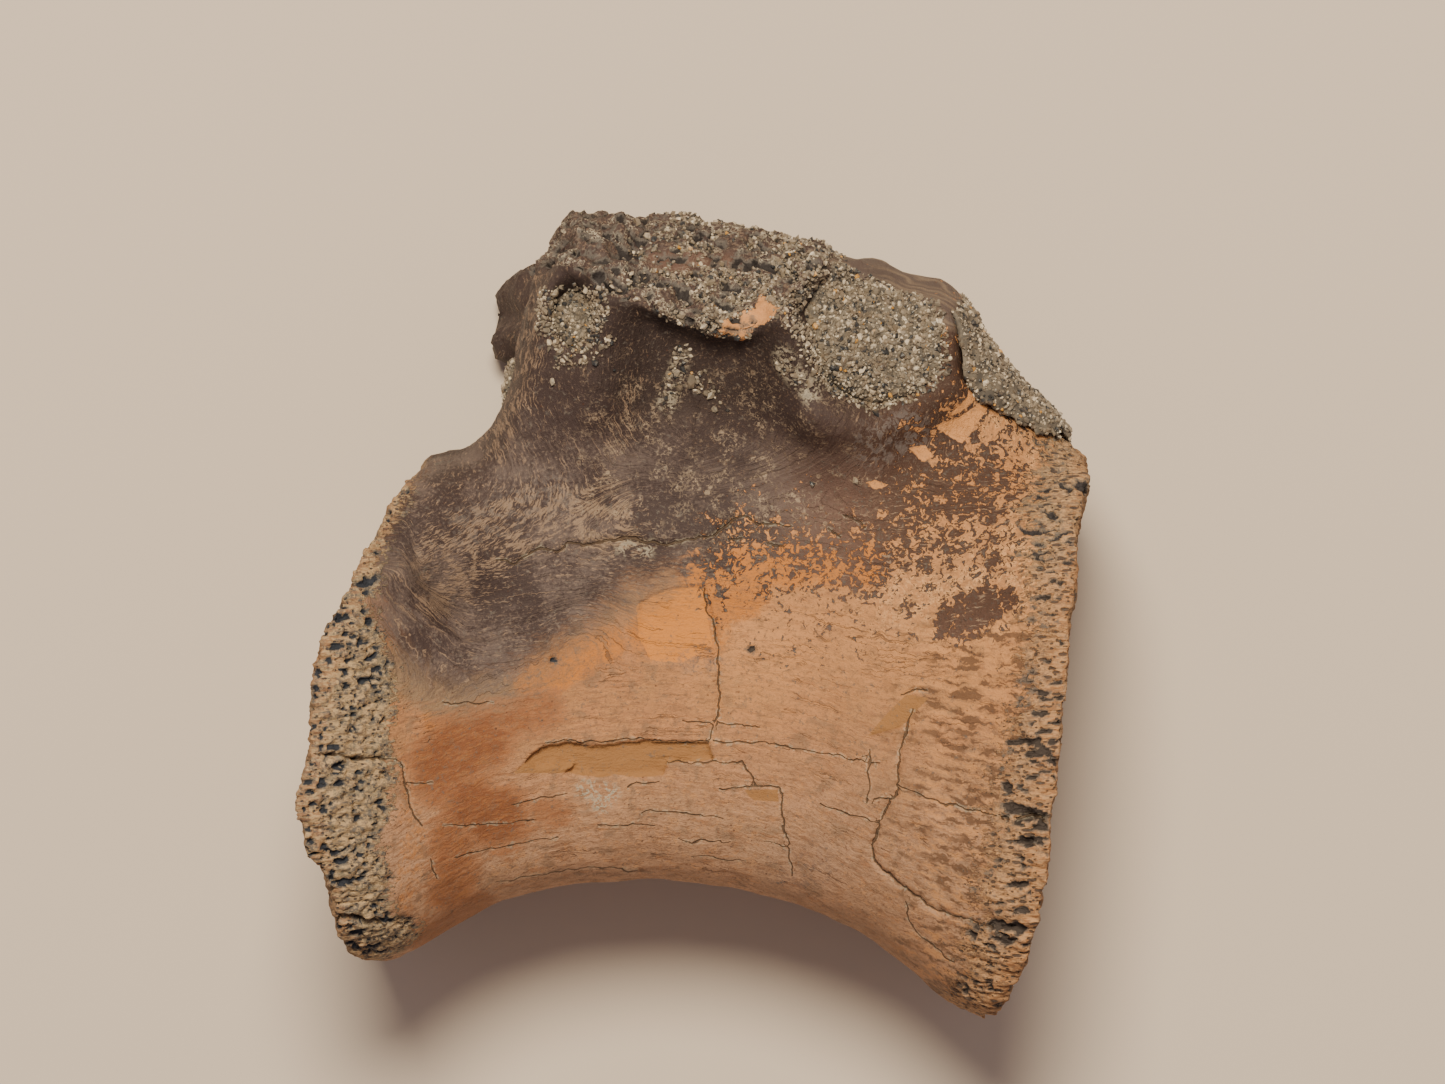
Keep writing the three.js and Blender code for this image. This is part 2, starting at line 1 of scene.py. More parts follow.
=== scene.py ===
"""The looks of the fossil vertebra: bone with fibres, pores, cracks and stains, and grains of sandstone.

Sizes below are in millimetres in the row frame, as in the part: X along the centrum, +Y dorsal, Z up through
the left flank. Meshes are scaled to metres when they are made.
"""

from contextlib import contextmanager
from itertools import product

import bmesh
import bpy
import numpy as np
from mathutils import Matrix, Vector
from mathutils.bvhtree import BVHTree


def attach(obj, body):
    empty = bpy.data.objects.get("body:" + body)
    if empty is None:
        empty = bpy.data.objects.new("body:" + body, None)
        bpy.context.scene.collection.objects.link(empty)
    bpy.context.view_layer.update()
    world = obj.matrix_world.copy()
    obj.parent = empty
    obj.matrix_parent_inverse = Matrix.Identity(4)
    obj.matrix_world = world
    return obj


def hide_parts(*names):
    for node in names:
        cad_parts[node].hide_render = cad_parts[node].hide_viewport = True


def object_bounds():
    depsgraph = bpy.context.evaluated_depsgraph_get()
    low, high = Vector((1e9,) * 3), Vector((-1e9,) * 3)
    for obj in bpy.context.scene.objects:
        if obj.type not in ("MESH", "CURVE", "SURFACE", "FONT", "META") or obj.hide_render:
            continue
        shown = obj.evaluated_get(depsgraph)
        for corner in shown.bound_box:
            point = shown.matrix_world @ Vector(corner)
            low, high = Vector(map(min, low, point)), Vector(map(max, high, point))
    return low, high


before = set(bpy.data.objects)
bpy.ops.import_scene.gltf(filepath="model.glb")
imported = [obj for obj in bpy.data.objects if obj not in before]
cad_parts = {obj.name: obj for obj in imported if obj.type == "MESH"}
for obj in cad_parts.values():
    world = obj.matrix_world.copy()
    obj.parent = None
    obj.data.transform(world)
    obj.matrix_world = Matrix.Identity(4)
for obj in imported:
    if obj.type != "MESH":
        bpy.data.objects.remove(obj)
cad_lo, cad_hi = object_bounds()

MM = 0.001

# Shape of the bone, as in the part.
WIDTH = 50.0
MIDDLE = WIDTH / 2
RIM_HALF = 27.2
WAIST_HALF = 13.5
WAIST_X = -3.0
FLARE = 2.3
OVAL = 2.5
CENTRUM_TOP = 16.2
ARCH_HALF = 13.0
ARCH_BLEND = 3.5
WING_RISE = 4.5
EDGE_HALF = 3.0
CREST_ROUNDING = 3.2
KEEL_ROUNDING = 1.6
END_HOLLOW = 2.6
RIM_WEAR = 1.6
RIM_WEAR_REACH = 5.0
REST_WEAR = 0.9
BREAK_EDGE_HALF = 22.0
BREAK_SLOPE = 1.12
PROCESS_ROUNDNESS = 0.65
# The stump of the right process: height, place along X and Y, and half widths.
PROCESS_SECTIONS = [
    (0, -10.4, 30.4, 10.2, 4.4), (4, -10.2, 30.6, 11.2, 5.0),
    (10, -8.3, 30.6, 10.6, 5.2), (17, -5, 30, 8, 4.8),
]
CANAL_Y = 21.2
CANAL_HALF = (4.8, 5.4)
CANAL_REACH = 45

FRONT_END = [
    (-32.0, -35.0), (-34.4, -34.0), (-35.7, -31.5), (-35.9, -27.0), (-36.8, -24.5), (-38.4, -23.2),
    (-39.1, -18.2), (-38.7, -15.6), (-37.9, -13.8), (-37.8, -8.1), (-36.8, -2.6), (-36.2, -0.6),
    (-34.6, 2.2), (-32.9, 5.6), (-30.9, 9.4), (-29.2, 13.3), (-27.0, 15.7),
]
BACK_END = [
    (28.8, -40.7), (30.5, -39.2), (32.4, -35.1), (34.1, -29.0), (34.8, -22.2), (34.2, -20.5),
    (35.0, -20.0), (35.4, -16.8), (36.0, -9.6), (36.5, -4.0), (36.2, -1.1), (37.4, 3.4),
    (37.8, 6.3), (37.6, 9.1), (39.0, 13.3), (39.0, 15.8),
]
KEEL = [
    (-32.0, -35.0), (-29.5, -34.6), (-25.6, -32.0), (-20.6, -29.1), (-13.0, -27.1), (-4.8, -26.5),
    (3.9, -27.3), (10.9, -29.3), (17.5, -32.3), (22.6, -36.8), (25.2, -38.8), (28.8, -40.7),
]
CREST = [
    (-27.0, 15.7), (-24.9, 16.5), (-22.5, 17.4), (-20.7, 19.1), (-18.9, 22.6), (-18.5, 25.0),
    (-16.3, 34.2), (-13.6, 38.9), (-12.4, 40.7), (-7.4, 40.0), (0.0, 39.9), (7.1, 38.3),
    (10.7, 37.8), (12.8, 36.9), (18.4, 35.2), (24.1, 33.2), (27.0, 31.8), (28.0, 24.5),
    (30.4, 21.8), (33.4, 20.2), (36.4, 18.4), (39.0, 15.8),
]
# Ridges of the arch: path, rise at its first and last point, reach.
LAMINAE = [
    ([(-19.6, 15.0), (-17.8, 23.0), (-15.6, 34.0)], (0.5, 3.0), 2.3),
    ([(-12.0, 14.0), (-9.6, 22.0), (-8.2, 32.0)], (0.5, 4.0), 3.0),
    ([(16.0, 14.5), (10.6, 21.5), (8.6, 30.0)], (1.5, 5.5), 3.4),
    ([(12.0, 19.0), (18.0, 18.6), (24.6, 22.6), (25.8, 31.0)], (3.5, 3.0), 2.6),
]
BREAK_EDGE = [
    (-16.6, 34.7), (-12.4, 34.4), (-10.1, 33.1), (-8.2, 31.4), (-5.7, 30.6), (-1.3, 28.7),
    (2.3, 27.5), (4.6, 27.2), (6.1, 28.3), (8.4, 29.7), (14.0, 35.4),
]
# The bowl behind the front rim: centre, reach and depth.
BOWL = ((-22.5, 0.5), (8.5, 6.0), 2.4)

# The camera looks straight down, from this far over the plane of symmetry.
CAMERA_DISTANCE = 800.0
CAMERA_PLACE = (2.6, 7.2, MIDDLE + CAMERA_DISTANCE)
SEEN_WIDTH = 144.5


def clamp(value, low=0.0, high=1.0):
    return np.minimum(high, np.maximum(low, value))


def lerp(a, b, share):
    return a + (b - a) * share


def smoothstep(low, high, value):
    share = clamp((value - low) / (high - low))
    return share * share * (3 - 2 * share)


def between(value, low, full_from, full_to, high):
    """One between the middle two numbers, fading to zero at the outer two."""
    return smoothstep(low, full_from, value) * smoothstep(high, full_to, value)


def smooth_max(a, b, reach):
    share = clamp(0.5 + (a - b) / (2 * reach))
    return lerp(b, a, share) + reach * share * (1 - share)


def along(points, at, key=0):
    """The other coordinate that a list of points has at one place, held constant past its ends."""
    table = np.array(points)
    return np.interp(at, table[:, key], table[:, 1 - key])


def rounded_edge(distance, reach):
    return np.sqrt(1 - (1 - clamp(distance / reach)) ** 2)


def nearest(path, x, y):
    """Distance to a path, share of the way along it, and the side: positive on its left hand."""
    best = np.full(np.shape(x), 1e9)
    share_of = np.zeros(np.shape(x))
    side_of = np.zeros(np.shape(x))
    for i, ((ax, ay), (bx, by)) in enumerate(zip(path, path[1:])):
        dx, dy = bx - ax, by - ay
        share = clamp(((x - ax) * dx + (y - ay) * dy) / (dx * dx + dy * dy))
        distance = np.hypot(x - ax - dx * share, y - ay - dy * share)
        closer = distance < best
        best = np.where(closer, distance, best)
        share_of = np.where(closer, (i + share) / (len(path) - 1), share_of)
        side_of = np.where(closer, np.sign(dx * (y - ay) - dy * (x - ax)), side_of)
    return best, share_of, side_of


def inside(outline, x, y):
    """Distance to the edge of a closed outline, positive inside it."""
    within = np.zeros(np.shape(x), bool)
    closed = list(outline) + [outline[0]]
    for (ax, ay), (bx, by) in zip(closed, closed[1:]):
        if ay == by:
            continue
        crosses = (ay > y) != (by > y)
        within ^= crosses & (x < (bx - ax) * (y - ay) / (by - ay) + ax)
    distance = nearest(closed, x, y)[0]
    return np.where(within, distance, -distance)


def scatter(ix, iy, iz, seed):
    """A repeatable number from 0 to 1 for each cell of a grid."""
    mixed = (ix * 73856093 + iy * 19349663 + iz * 83492791 + seed * 2654435761) & 0xFFFFFFFF
    mixed = ((mixed ^ (mixed >> 15)) * 2246822519) & 0xFFFFFFFF
    mixed = ((mixed ^ (mixed >> 13)) * 3266489917) & 0xFFFFFFFF
    return ((mixed ^ (mixed >> 16)) & 0xFFFFFF) / float(0xFFFFFF)


def noise(x, y, z, seed=0):
    """Smooth gradient noise, about -1 to 1, with features of about one unit."""
    x, y, z = np.broadcast_arrays(np.asarray(x, float), y, z)
    fx, fy, fz = np.floor(x), np.floor(y), np.floor(z)
    tx, ty, tz = x - fx, y - fy, z - fz
    ix, iy, iz = fx.astype(np.int64), fy.astype(np.int64), fz.astype(np.int64)
    ux, uy, uz = (t * t * t * (t * (t * 6 - 15) + 10) for t in (tx, ty, tz))
    total = np.zeros(x.shape)
    for cx, cy, cz in product((0, 1), repeat=3):
        cell = (ix + cx, iy + cy, iz + cz)
        gx, gy, gz = (2 * scatter(*cell, seed * 3 + k) - 1 for k in (1, 2, 3))
        dot = gx * (tx - cx) + gy * (ty - cy) + gz * (tz - cz)
        total += (ux if cx else 1 - ux) * (uy if cy else 1 - uy) * (uz if cz else 1 - uz) * dot
    return total * 1.6


def even_noise(x, y, z, scale, seed=0):
    """Noise with the same scale along all three axes."""
    return noise(x * scale, y * scale, z * scale, seed)


def cells(x, y, z, seed=0):
    """Cellular noise: distances to the nearest two points, and a random number of the nearest one's cell."""
    x, y, z = np.broadcast_arrays(np.asarray(x, float), y, z)
    fx, fy, fz = (np.floor(v).astype(np.int64) for v in (x, y, z))
    first = np.full(x.shape, 9.0)
    second = np.full(x.shape, 9.0)
    number = np.zeros(x.shape)
    for cx, cy, cz in product((-1, 0, 1), repeat=3):
        cell = (fx + cx, fy + cy, fz + cz)
        px, py, pz = (c + scatter(*cell, seed * 5 + k) for k, c in zip((1, 2, 3), cell))
        distance = np.sqrt((px - x) ** 2 + (py - y) ** 2 + (pz - z) ** 2)
        closer = distance < first
        second = np.where(closer, first, np.minimum(second, distance))
        number = np.where(closer, scatter(*cell, seed * 5 + 4), number)
        first = np.where(closer, distance, first)
    return first, second, number


# ---------------------------------------------------------------------------------------------------------
# The bone's form, the same as the part's, on finer steps.

def even_front(y):
    return -38.6 + np.where(y > -18, 0.0098, 0.019) * (y + 18) ** 2


def even_back(y):
    return 34.6 + np.where(y > -22, 0.12 * (y + 22), -0.0165 * (y + 22) ** 2)


def ends(y, left):
    """Where the centrum's front and back ends lie: as outlined on the left, evenly curved on the right."""
    return [np.where(left, along(outline, y, 1), even(clamp(y, max(outline[0][1], -40.0), outline[-1][1])))
            for outline, even in ((FRONT_END, even_front), (BACK_END, even_back))]


def centrum_half(x, y):
    front = even_front(clamp(y, -34, 15.7))
    back = even_back(clamp(y, -40, 15.8))
    to_rim = np.where(x < WAIST_X, (WAIST_X - x) / (WAIST_X - front), (x - WAIST_X) / (back - WAIST_X))
    half = lerp(WAIST_HALF, RIM_HALF, clamp(to_rim) ** FLARE)
    bottom = along(KEEL, x)
    top = np.minimum(along(CREST, x), CENTRUM_TOP)
    height = clamp(np.abs(2 * y - bottom - top) / (top - bottom))
    from_end = np.minimum(x - front, back - x)
    wear = RIM_WEAR * (1 - clamp(from_end / RIM_WEAR_REACH)) ** 2
    return np.maximum(0, half - wear) * (1 - height ** OVAL) ** (1 / OVAL)


def arch_half(x, y):
    footing = smoothstep(-28, -17, x) * (1 - 0.35 * smoothstep(27, 38, x))
    half = ARCH_HALF * footing * smoothstep(-10, 3, y)
    half = half + WING_RISE * smoothstep(13, 32, y) * smoothstep(-20, -13, x) * (1 - smoothstep(10, 17, x))
    for path, rise, reach in LAMINAE:
        distance, share, _ = nearest(path, x, y)
        half = half + lerp(rise[0], rise[1], share) * np.exp(-((distance / reach) ** 2))
    return half


def on_break(x, y, soft=1.0):
    above = y - along(BREAK_EDGE, x)
    within = (1 - smoothstep(12, 15, x)) * smoothstep(-18.5, -15, x)
    return smoothstep(-1.2 * soft, 0.4 * soft, above) * within


def break_half(x, y):
    rise = BREAK_SLOPE * np.maximum(0, y - along(BREAK_EDGE, x))
    return BREAK_EDGE_HALF - rise - 2.5 * smoothstep(-8, -16, x)


def bowl_depth(x, y):
    (cx, cy), (rx, ry), depth = BOWL
    return depth * (1 - smoothstep(0, 1, np.hypot((x - cx) / rx, (y - cy) / ry)))


def near_end(x, y):
    from_end = np.minimum(x - even_front(y), even_back(y) - x)
    return 1 - smoothstep(1, 7, from_end)


def bone_half(x, y, left):
    half = smooth_max(centrum_half(x, y), arch_half(x, y), ARCH_BLEND) - bowl_depth(x, y)
    half = lerp(half, break_half(x, y), on_break(x, y))
    half = half + np.where(left, 0, REST_WEAR * near_end(x, y))
    half = np.maximum(half, EDGE_HALF)
    half = half * rounded_edge(nearest(CREST, x, y)[0], CREST_ROUNDING)
    half = half * rounded_edge(nearest(KEEL, x, y)[0], KEEL_ROUNDING)
    return np.minimum(half, MIDDLE)


# Steps of the surfaces before they are remeshed, and the size of the remeshed cells.
STATIONS = 150
LEFT_STEPS = 110
RIGHT_STEPS = 80
END_RINGS = 12
PROCESS_RINGS = 24
PROCESS_TURNS = 60
CANAL_RINGS = 60
CANAL_TURNS = 40
CELL = 0.9
RUN_TRIALS = 14


def station_runs(shares, left):
    """The lowest and the highest point of each station's run over the plane of symmetry, found by trial."""
    bottom = np.full(shares.shape, -30.0)
    top = np.full(shares.shape, 20.0)
    for _ in range(RUN_TRIALS):
        bottom = along(KEEL, lerp(*ends(bottom, left), shares))
        top = along(CREST, lerp(*ends(top, left), shares))
    return bottom, top


def closer_at_ends(shares, how_much):
    """Moves even shares of a way towards its two ends."""
    return lerp(shares, (1 - np.cos(np.pi * shares)) / 2, how_much)


def stations(left, ways, shares):
    """Points of one flank: a row for each station and a column for each step up it."""
    bottom, top = (run[:, None] for run in station_runs(shares, left))
    y = lerp(bottom, top, closer_at_ends(ways, 0.45)[None, :])
    x = lerp(*ends(y, left), shares[:, None])
    half = np.where((ways == 0) | (ways == 1), 0, bone_half(x, y, left))
    broken = smoothstep(0.82, 0.97, ways)[None, :] * smoothstep(24, 32, top)
    z = MIDDLE + (half if left else -half)
    y = y + 1.4 * broken * (noise(x * 0.32, y * 0, z * 0.21, 4) - 0.25)
    return np.stack([x, y, z], -1)


def end_rings(edge, inward):
    """Rings that close one end of the centrum with a shallow hollow, from its rim to its middle."""
    centre_y = (edge[0, 1] + edge[LEFT_STEPS, 1]) / 2
    even = even_front if inward > 0 else even_back
    rings = []
    for scale in np.linspace(1, 0, END_RINGS + 1)[1:-1]:
        y = lerp(centre_y, edge[:, 1], scale)
        z = lerp(MIDDLE, edge[:, 2], scale)
        x = lerp(even(y), edge[:, 0], smoothstep(0.6, 1.2, scale))
        x = x + inward * END_HOLLOW * (1 - scale ** 2.4)
        x = x + 0.6 * scale * noise(y * 0.25, z * 0.25, inward * 5)
        rings.append(np.stack([x, y, z], -1))
    return rings


def skin(rings):
    """Vertices and faces of a closed skin over rings of points, with a fan over the first and the last."""
    count = len(rings[0])
    places = np.concatenate(rings + [rings[0].mean(0)[None], rings[-1].mean(0)[None]])
    faces = []
    for r in range(len(rings) - 1):
        for i in range(count):
            a, b = r * count + i, r * count + (i + 1) % count
            faces.append((a, a + count, b + count, b))
    last = (len(rings) - 1) * count
    for i in range(count):
        k = (i + 1) % count
        faces.append((len(places) - 2, i, k))
        faces.append((len(places) - 1, last + k, last + i))
    return places, faces


def put_in_scene(name, data):
    holder = bpy.data.objects.new(name, data)
    bpy.context.scene.collection.objects.link(holder)
    return holder


def make_object(name, places, faces):
    mesh = bpy.data.meshes.new(name)
    mesh.from_pydata((np.asarray(places) * MM).tolist(), [], [tuple(f) for f in faces])
    return put_in_scene(name, mesh)


def apply_modifier(piece, kind, **settings):
    modifier = piece.modifiers.new(kind.lower(), kind)
    for key, value in settings.items():
        setattr(modifier, key, value)
    with bpy.context.temp_override(object=piece, active_object=piece):
        bpy.ops.object.modifier_apply(modifier=modifier.name)


def remesh(piece, cell):
    apply_modifier(piece, "REMESH", mode="VOXEL", voxel_size=cell * MM)


def smooth(piece, times):
    apply_modifier(piece, "SMOOTH", factor=0.5, iterations=times)


@contextmanager
def editing(piece):
    """A piece's mesh, open for edits, and written back after them."""
    work = bmesh.new()
    work.from_mesh(piece.data)
    yield work
    work.to_mesh(piece.data)
    work.free()


def turn_out(piece):
    """Turns a closed mesh so that its faces point out."""
    with editing(piece) as work:
        bmesh.ops.recalc_face_normals(work, faces=work.faces)


def bone_skin():
    shares = closer_at_ends(np.linspace(0, 1, STATIONS + 1), 0.35)
    left = stations(True, np.arange(LEFT_STEPS) / LEFT_STEPS, shares)
    right = stations(False, 1 - np.arange(RIGHT_STEPS) / RIGHT_STEPS, shares)
    rings = list(np.concatenate([left, right], 1))
    return skin(end_rings(rings[0], 1)[::-1] + rings + end_rings(rings[-1], -1))


def right_process():
    """The stump of the right transverse process, down to its worn end."""
    turns = np.linspace(0, 2 * np.pi, PROCESS_TURNS, endpoint=False)
    across, upward = np.cos(turns), np.sin(turns)
    heights, *columns = np.array(PROCESS_SECTIONS).T
    rings = []
    for z in np.linspace(heights[-1], heights[0], PROCESS_RINGS):
        x, y, half_x, half_y = (np.interp(z, heights, column) for column in columns)
        lump = 1 + 0.16 * noise(across * 2.2, upward * 2.2, z * 0.3 + 9)
        rings.append(np.stack([x + half_x * lump * np.sign(across) * np.abs(across) ** PROCESS_ROUNDNESS,
                               y + half_y * lump * np.sign(upward) * np.abs(upward) ** PROCESS_ROUNDNESS,
                               np.full(turns.shape, z)], -1))
    return skin(rings)


def canal_tube():
    turns = np.linspace(0, 2 * np.pi, CANAL_TURNS, endpoint=False)
    rings = []
    for x in np.linspace(-CANAL_REACH, CANAL_REACH, CANAL_RINGS):
        lump = 0.4 * noise(x * 0.15, np.cos(turns) * 1.3, np.sin(turns) * 1.3)
        y = CANAL_Y + (CANAL_HALF[0] + lump) * np.cos(turns)
        z = MIDDLE + (CANAL_HALF[1] + lump) * np.sin(turns)
        rings.append(np.stack([np.full(turns.shape, x), y, z], -1))
    return skin(rings)


# The hollows that hold sandstone. "most" caps how high the sandstone starts from the bone round it,
# "proud" is how far it stands out, "deep" how far it lies in at its upper edge, and "floor" and "top" are
# the part's.
FRONT_FOSSA = {
    "outline": [
        (-15.3, 29.8), (-14.8, 32.0), (-12.9, 33.6), (-10.7, 33.2), (-9.2, 31.4), (-8.9, 29.4),
        (-9.7, 27.2), (-11.4, 25.8), (-12.9, 24.9), (-13.9, 26.3), (-15.0, 28.0),
    ],
    "most": 19.0, "proud": -0.5, "deep": 2.4, "floor": 12.0, "top": 15.9,
}
BACK_FOSSA = {
    "outline": [
        (8.6, 29.6), (10.4, 26.2), (11.8, 23.8), (14.0, 21.6), (17.2, 20.2), (20.3, 21.0), (22.8, 22.2),
        (24.6, 24.0), (24.4, 28.2), (23.6, 30.4), (19.8, 31.6), (16.6, 33.8), (13.4, 35.0), (10.6, 33.4),
    ],
    "most": 17.5, "proud": 0.3, "deep": 0.0, "floor": 11.0, "top": 17.6,
}
# How far below the sandstone's top the bone under it lies.
SUNK_BONE = 1.2

# The inner edge of the front rim's open spongy band, from the bottom up.
SPONGE_EDGE = [
    (-31.4, -34.7), (-27.8, -32.0), (-28.2, -30.6), (-30.7, -29.9), (-30.9, -27.5), (-30.3, -26.2),
    (-31.8, -24.5), (-31.6, -22.1), (-30.3, -19.9), (-30.3, -16.5), (-30.7, -11.7), (-30.1, -9.8),
    (-29.8, -6.9), (-31.1, -3.0), (-33.4, 1.1), (-32.0, 2.1), (-31.7, 5.6), (-30.6, 8.5),
    (-28.9, 11.3), (-28.4, 12.9),
]

# Cracks of the left flank as the camera sees them: path, how wide they gape, and depth.
CRACKS = [
    ([(-20.2, 5.4), (-18.4, 5.1), (-16.7, 6.1), (-15.4, 6.7), (-14.0, 6.1), (-12.8, 7.2), (-11.2, 6.9),
      (-8.9, 7.4), (-6.6, 7.7), (-5.0, 7.2), (-2.3, 7.2), (-0.3, 7.6), (1.7, 8.0), (2.9, 8.9),
      (4.3, 9.7), (5.2, 9.7), (6.1, 9.0), (7.8, 9.0), (9.7, 8.7)], 0.3, 0.45),
    ([(13.0, 8.6), (14.6, 7.7)], 0.25, 0.3),
    ([(14.6, 10.0), (17.1, 8.7)], 0.25, 0.3),
    ([(2.9, 7.3), (4.8, 7.8)], 0.25, 0.3),
    ([(6.9, 7.2), (9.1, 6.5)], 0.25, 0.3),
    ([(0.8, 2.8), (1.0, 0.3), (1.7, -1.6), (2.2, -4.4), (2.2, -7.8), (2.2, -10.3), (1.5, -11.7),
      (1.4, -12.9)], 0.24, 0.45),
    ([(-1.8, -10.6), (6.4, -11.3)], 0.16, 0.2),
    ([(-15.4, -13.0), (-12.6, -12.6), (-10.5, -12.9), (-7.1, -12.5), (-0.7, -12.8), (6.4, -12.8),
      (18.4, -15.0)], 0.18, 0.3),
    ([(-3.2, -14.8), (4.7, -14.9), (6.1, -17.2), (8.4, -17.3), (8.5, -20.4), (9.2, -23.2),
      (9.6, -26.3)], 0.22, 0.4),
    ([(1.9, -17.6), (6.1, -17.2)], 0.18, 0.25),
    ([(23.4, -7.4), (20.1, -8.1)], 0.24, 0.4),
    ([(21.8, -9.0), (21.2, -10.8), (20.2, -13.8), (20.1, -17.4), (18.3, -20.7), (18.0, -22.0),
      (17.4, -23.3), (17.9, -25.0), (20.8, -27.6), (23.9, -29.6), (27.7, -30.9), (29.7, -31.4)], 0.26, 0.5),
    ([(20.1, -17.1), (24.6, -18.9), (26.7, -19.4), (31.3, -20.5)], 0.22, 0.35),
    ([(17.3, -13.1), (17.5, -15.1), (17.0, -15.6), (17.4, -17.1), (17.0, -19.3)], 0.18, 0.25),
    ([(17.3, -18.6), (19.4, -18.4)], 0.14, 0.2),
    ([(20.8, -28.4), (21.2, -30.7), (22.3, -32.2), (25.9, -35.0)], 0.2, 0.3),
    ([(-29.7, -14.7), (-29.2, -16.5), (-28.3, -19.7), (-27.2, -21.5)], 0.24, 0.4),
    ([(-29.0, -16.9), (-26.2, -16.9)], 0.18, 0.2),
    ([(-25.5, -8.9), (-20.1, -8.9)], 0.15, 0.15),
    ([(-26.6, -24.5), (-25.8, -26.7)], 0.2, 0.3),
    ([(-24.4, -24.3), (-19.2, -23.2), (-13.6, -22.3)], 0.15, 0.18),
    ([(-20.4, -27.1), (-17.1, -26.2), (-14.1, -25.8), (-10.1, -25.3), (-5.6, -25.7)], 0.15, 0.18),
    ([(-18.6, -19.1), (-14.6, -18.2), (-13.1, -17.9)], 0.14, 0.15),
    ([(-25.6, -21.1), (-22.1, -21.1), (-15.6, -20.6)], 0.13, 0.15),
    ([(-10.1, -21.1), (-3.6, -21.0)], 0.13, 0.15),
    ([(-7.1, -17.2), (-3.6, -16.8)], 0.16, 0.15),
    ([(-5.6, -19.7), (-1.9, -19.8), (2.9, -20.5)], 0.14, 0.15),
    ([(-1.9, -22.6), (3.6, -22.8)], 0.12, 0.15),
    ([(-0.9, -24.2), (2.6, -24.5), (5.1, -24.8)], 0.13, 0.15),
    ([(6.4, -22.8), (9.1, -23.3)], 0.12, 0.15),
    ([(12.1, -18.9), (15.1, -20.0), (18.4, -20.8)], 0.14, 0.15),
    ([(-38.4, -13.9), (-34.0, -14.5), (-29.8, -14.6)], 0.34, 0.7),
    ([(-36.6, -30.4), (-33.5, -30.6), (-31.2, -31.1)], 0.6, 0.9),
    ([(30.4, -20.6), (33.0, -20.2), (35.4, -20.6)], 0.55, 0.9),
]

# Single pits of the left flank and of its rims as the camera sees them: path and half width.
PITS = [
    ([(-14.3, -4.6), (-14.1, -4.7)], 0.2), ([(5.4, -3.6), (5.6, -3.5)], 0.28),
    ([(-32.8, -0.6), (-32.6, -0.7)], 0.3), ([(31.0, -12.9), (34.2, -12.6)], 0.22),
    ([(30.7, -17.2), (31.3, -17.4)], 0.35), ([(31.3, -19.4), (34.9, -20.4)], 0.55),
    ([(32.6, -22.6), (33.2, -22.8)], 0.4), ([(29.4, -31.2), (30.5, -31.2)], 0.45),
    ([(31.4, -31.4), (32.6, -31.7)], 0.45), ([(32.4, 8.6), (33.4, 8.2)], 0.16),
    ([(34.6, 10.4), (35.9, 9.8)], 0.2), ([(35.4, 3.4), (36.3, 3.1)], 0.17),
    ([(36.4, 13.0), (37.4, 12.5)], 0.2), ([(34.0, 5.6), (34.8, 5.2)], 0.14),
    ([(33.9, 12.0), (34.7, 11.6)], 0.14),
]

# Flakes lost from the left flank: outline as the camera sees it, and thickness.
LONG_FLAKE = [
    (-18.3, -15.9), (-15.5, -13.3), (-12.6, -12.8), (-10.5, -13.2), (-5.1, -12.7), (1.1, -12.8),
    (1.8, -14.6), (-0.3, -14.8), (-2.9, -14.9), (-3.3, -16.3), (-6.4, -16.4), (-8.2, -16.1),
    (-9.8, -16.4), (-13.2, -15.9),
]
SPALLS = [
    (LONG_FLAKE + [(-12.0, -15.1), (-16.2, -15.3), (-17.2, -14.9)], 0.7),
    ([(-5.7, 1.2), (-3.6, 2.3), (-2.4, 2.6), (0.8, 2.7), (1.6, 0.4), (1.8, -3.2), (-1.5, -4.9), (-4.6, -4.6),
      (-5.6, -2.2)], 0.22),
    ([(17.2, -12.2), (19.4, -11.6), (20.3, -11.2), (19.6, -13.0), (18.0, -13.3)], 0.2),
]


def seen_plane(x, y, z):
    """Where the camera sees a point of the left flank, in millimetres of the middle plane."""
    scale = CAMERA_DISTANCE / (CAMERA_DISTANCE - (z - MIDDLE))
    return [eye + (value - eye) * scale for value, eye in zip((x, y), CAMERA_PLACE)]


def crack_fields(x, y):
    """For the nearest crack: signed distance to its line, its half width, and its depth."""
    gap = np.full(x.shape, 9.0)
    half_width = np.full(x.shape, -1.0)
    depth = np.zeros(x.shape)
    wander_x = x + 0.3 * noise(x * 0.8, y * 0.8, 3.0) + 0.12 * noise(x * 2.6, y * 2.6, 1.0)
    wander_y = y + 0.3 * noise(x * 0.8, y * 0.8, 7.0) + 0.12 * noise(x * 2.6, y * 2.6, 5.0)
    for path, wide, deep in CRACKS:
        distance, share, side = nearest(path, wander_x, wander_y)
        taper = np.sqrt(np.sin(np.pi * share) + 1e-9)
        closer = distance < np.abs(gap)
        past_end = smoothstep(0.5, 0.9, distance) + (share < 0.002) + (share > 0.998)
        gap = np.where(closer, distance * np.sign(side + 1e-9), gap)
        half_width = np.where(closer, 0.3 * wide * (0.4 + 0.6 * taper) - past_end, half_width)
        depth = np.where(closer, deep * taper * smoothstep(0.17, 0.3, wide), depth)
    return gap, half_width, depth


def pit_depth(x, y):
    """How deep each point lies in a single pit, from 0 to 1."""
    wander = 0.25 * noise(x * 1.6, y * 1.6, 2.0, 28)
    deep = np.zeros(x.shape)
    for path, half_width in PITS:
        deep = np.maximum(deep, smoothstep(0.15, -0.15, nearest(path, x, y)[0] + wander - half_width))
    return deep


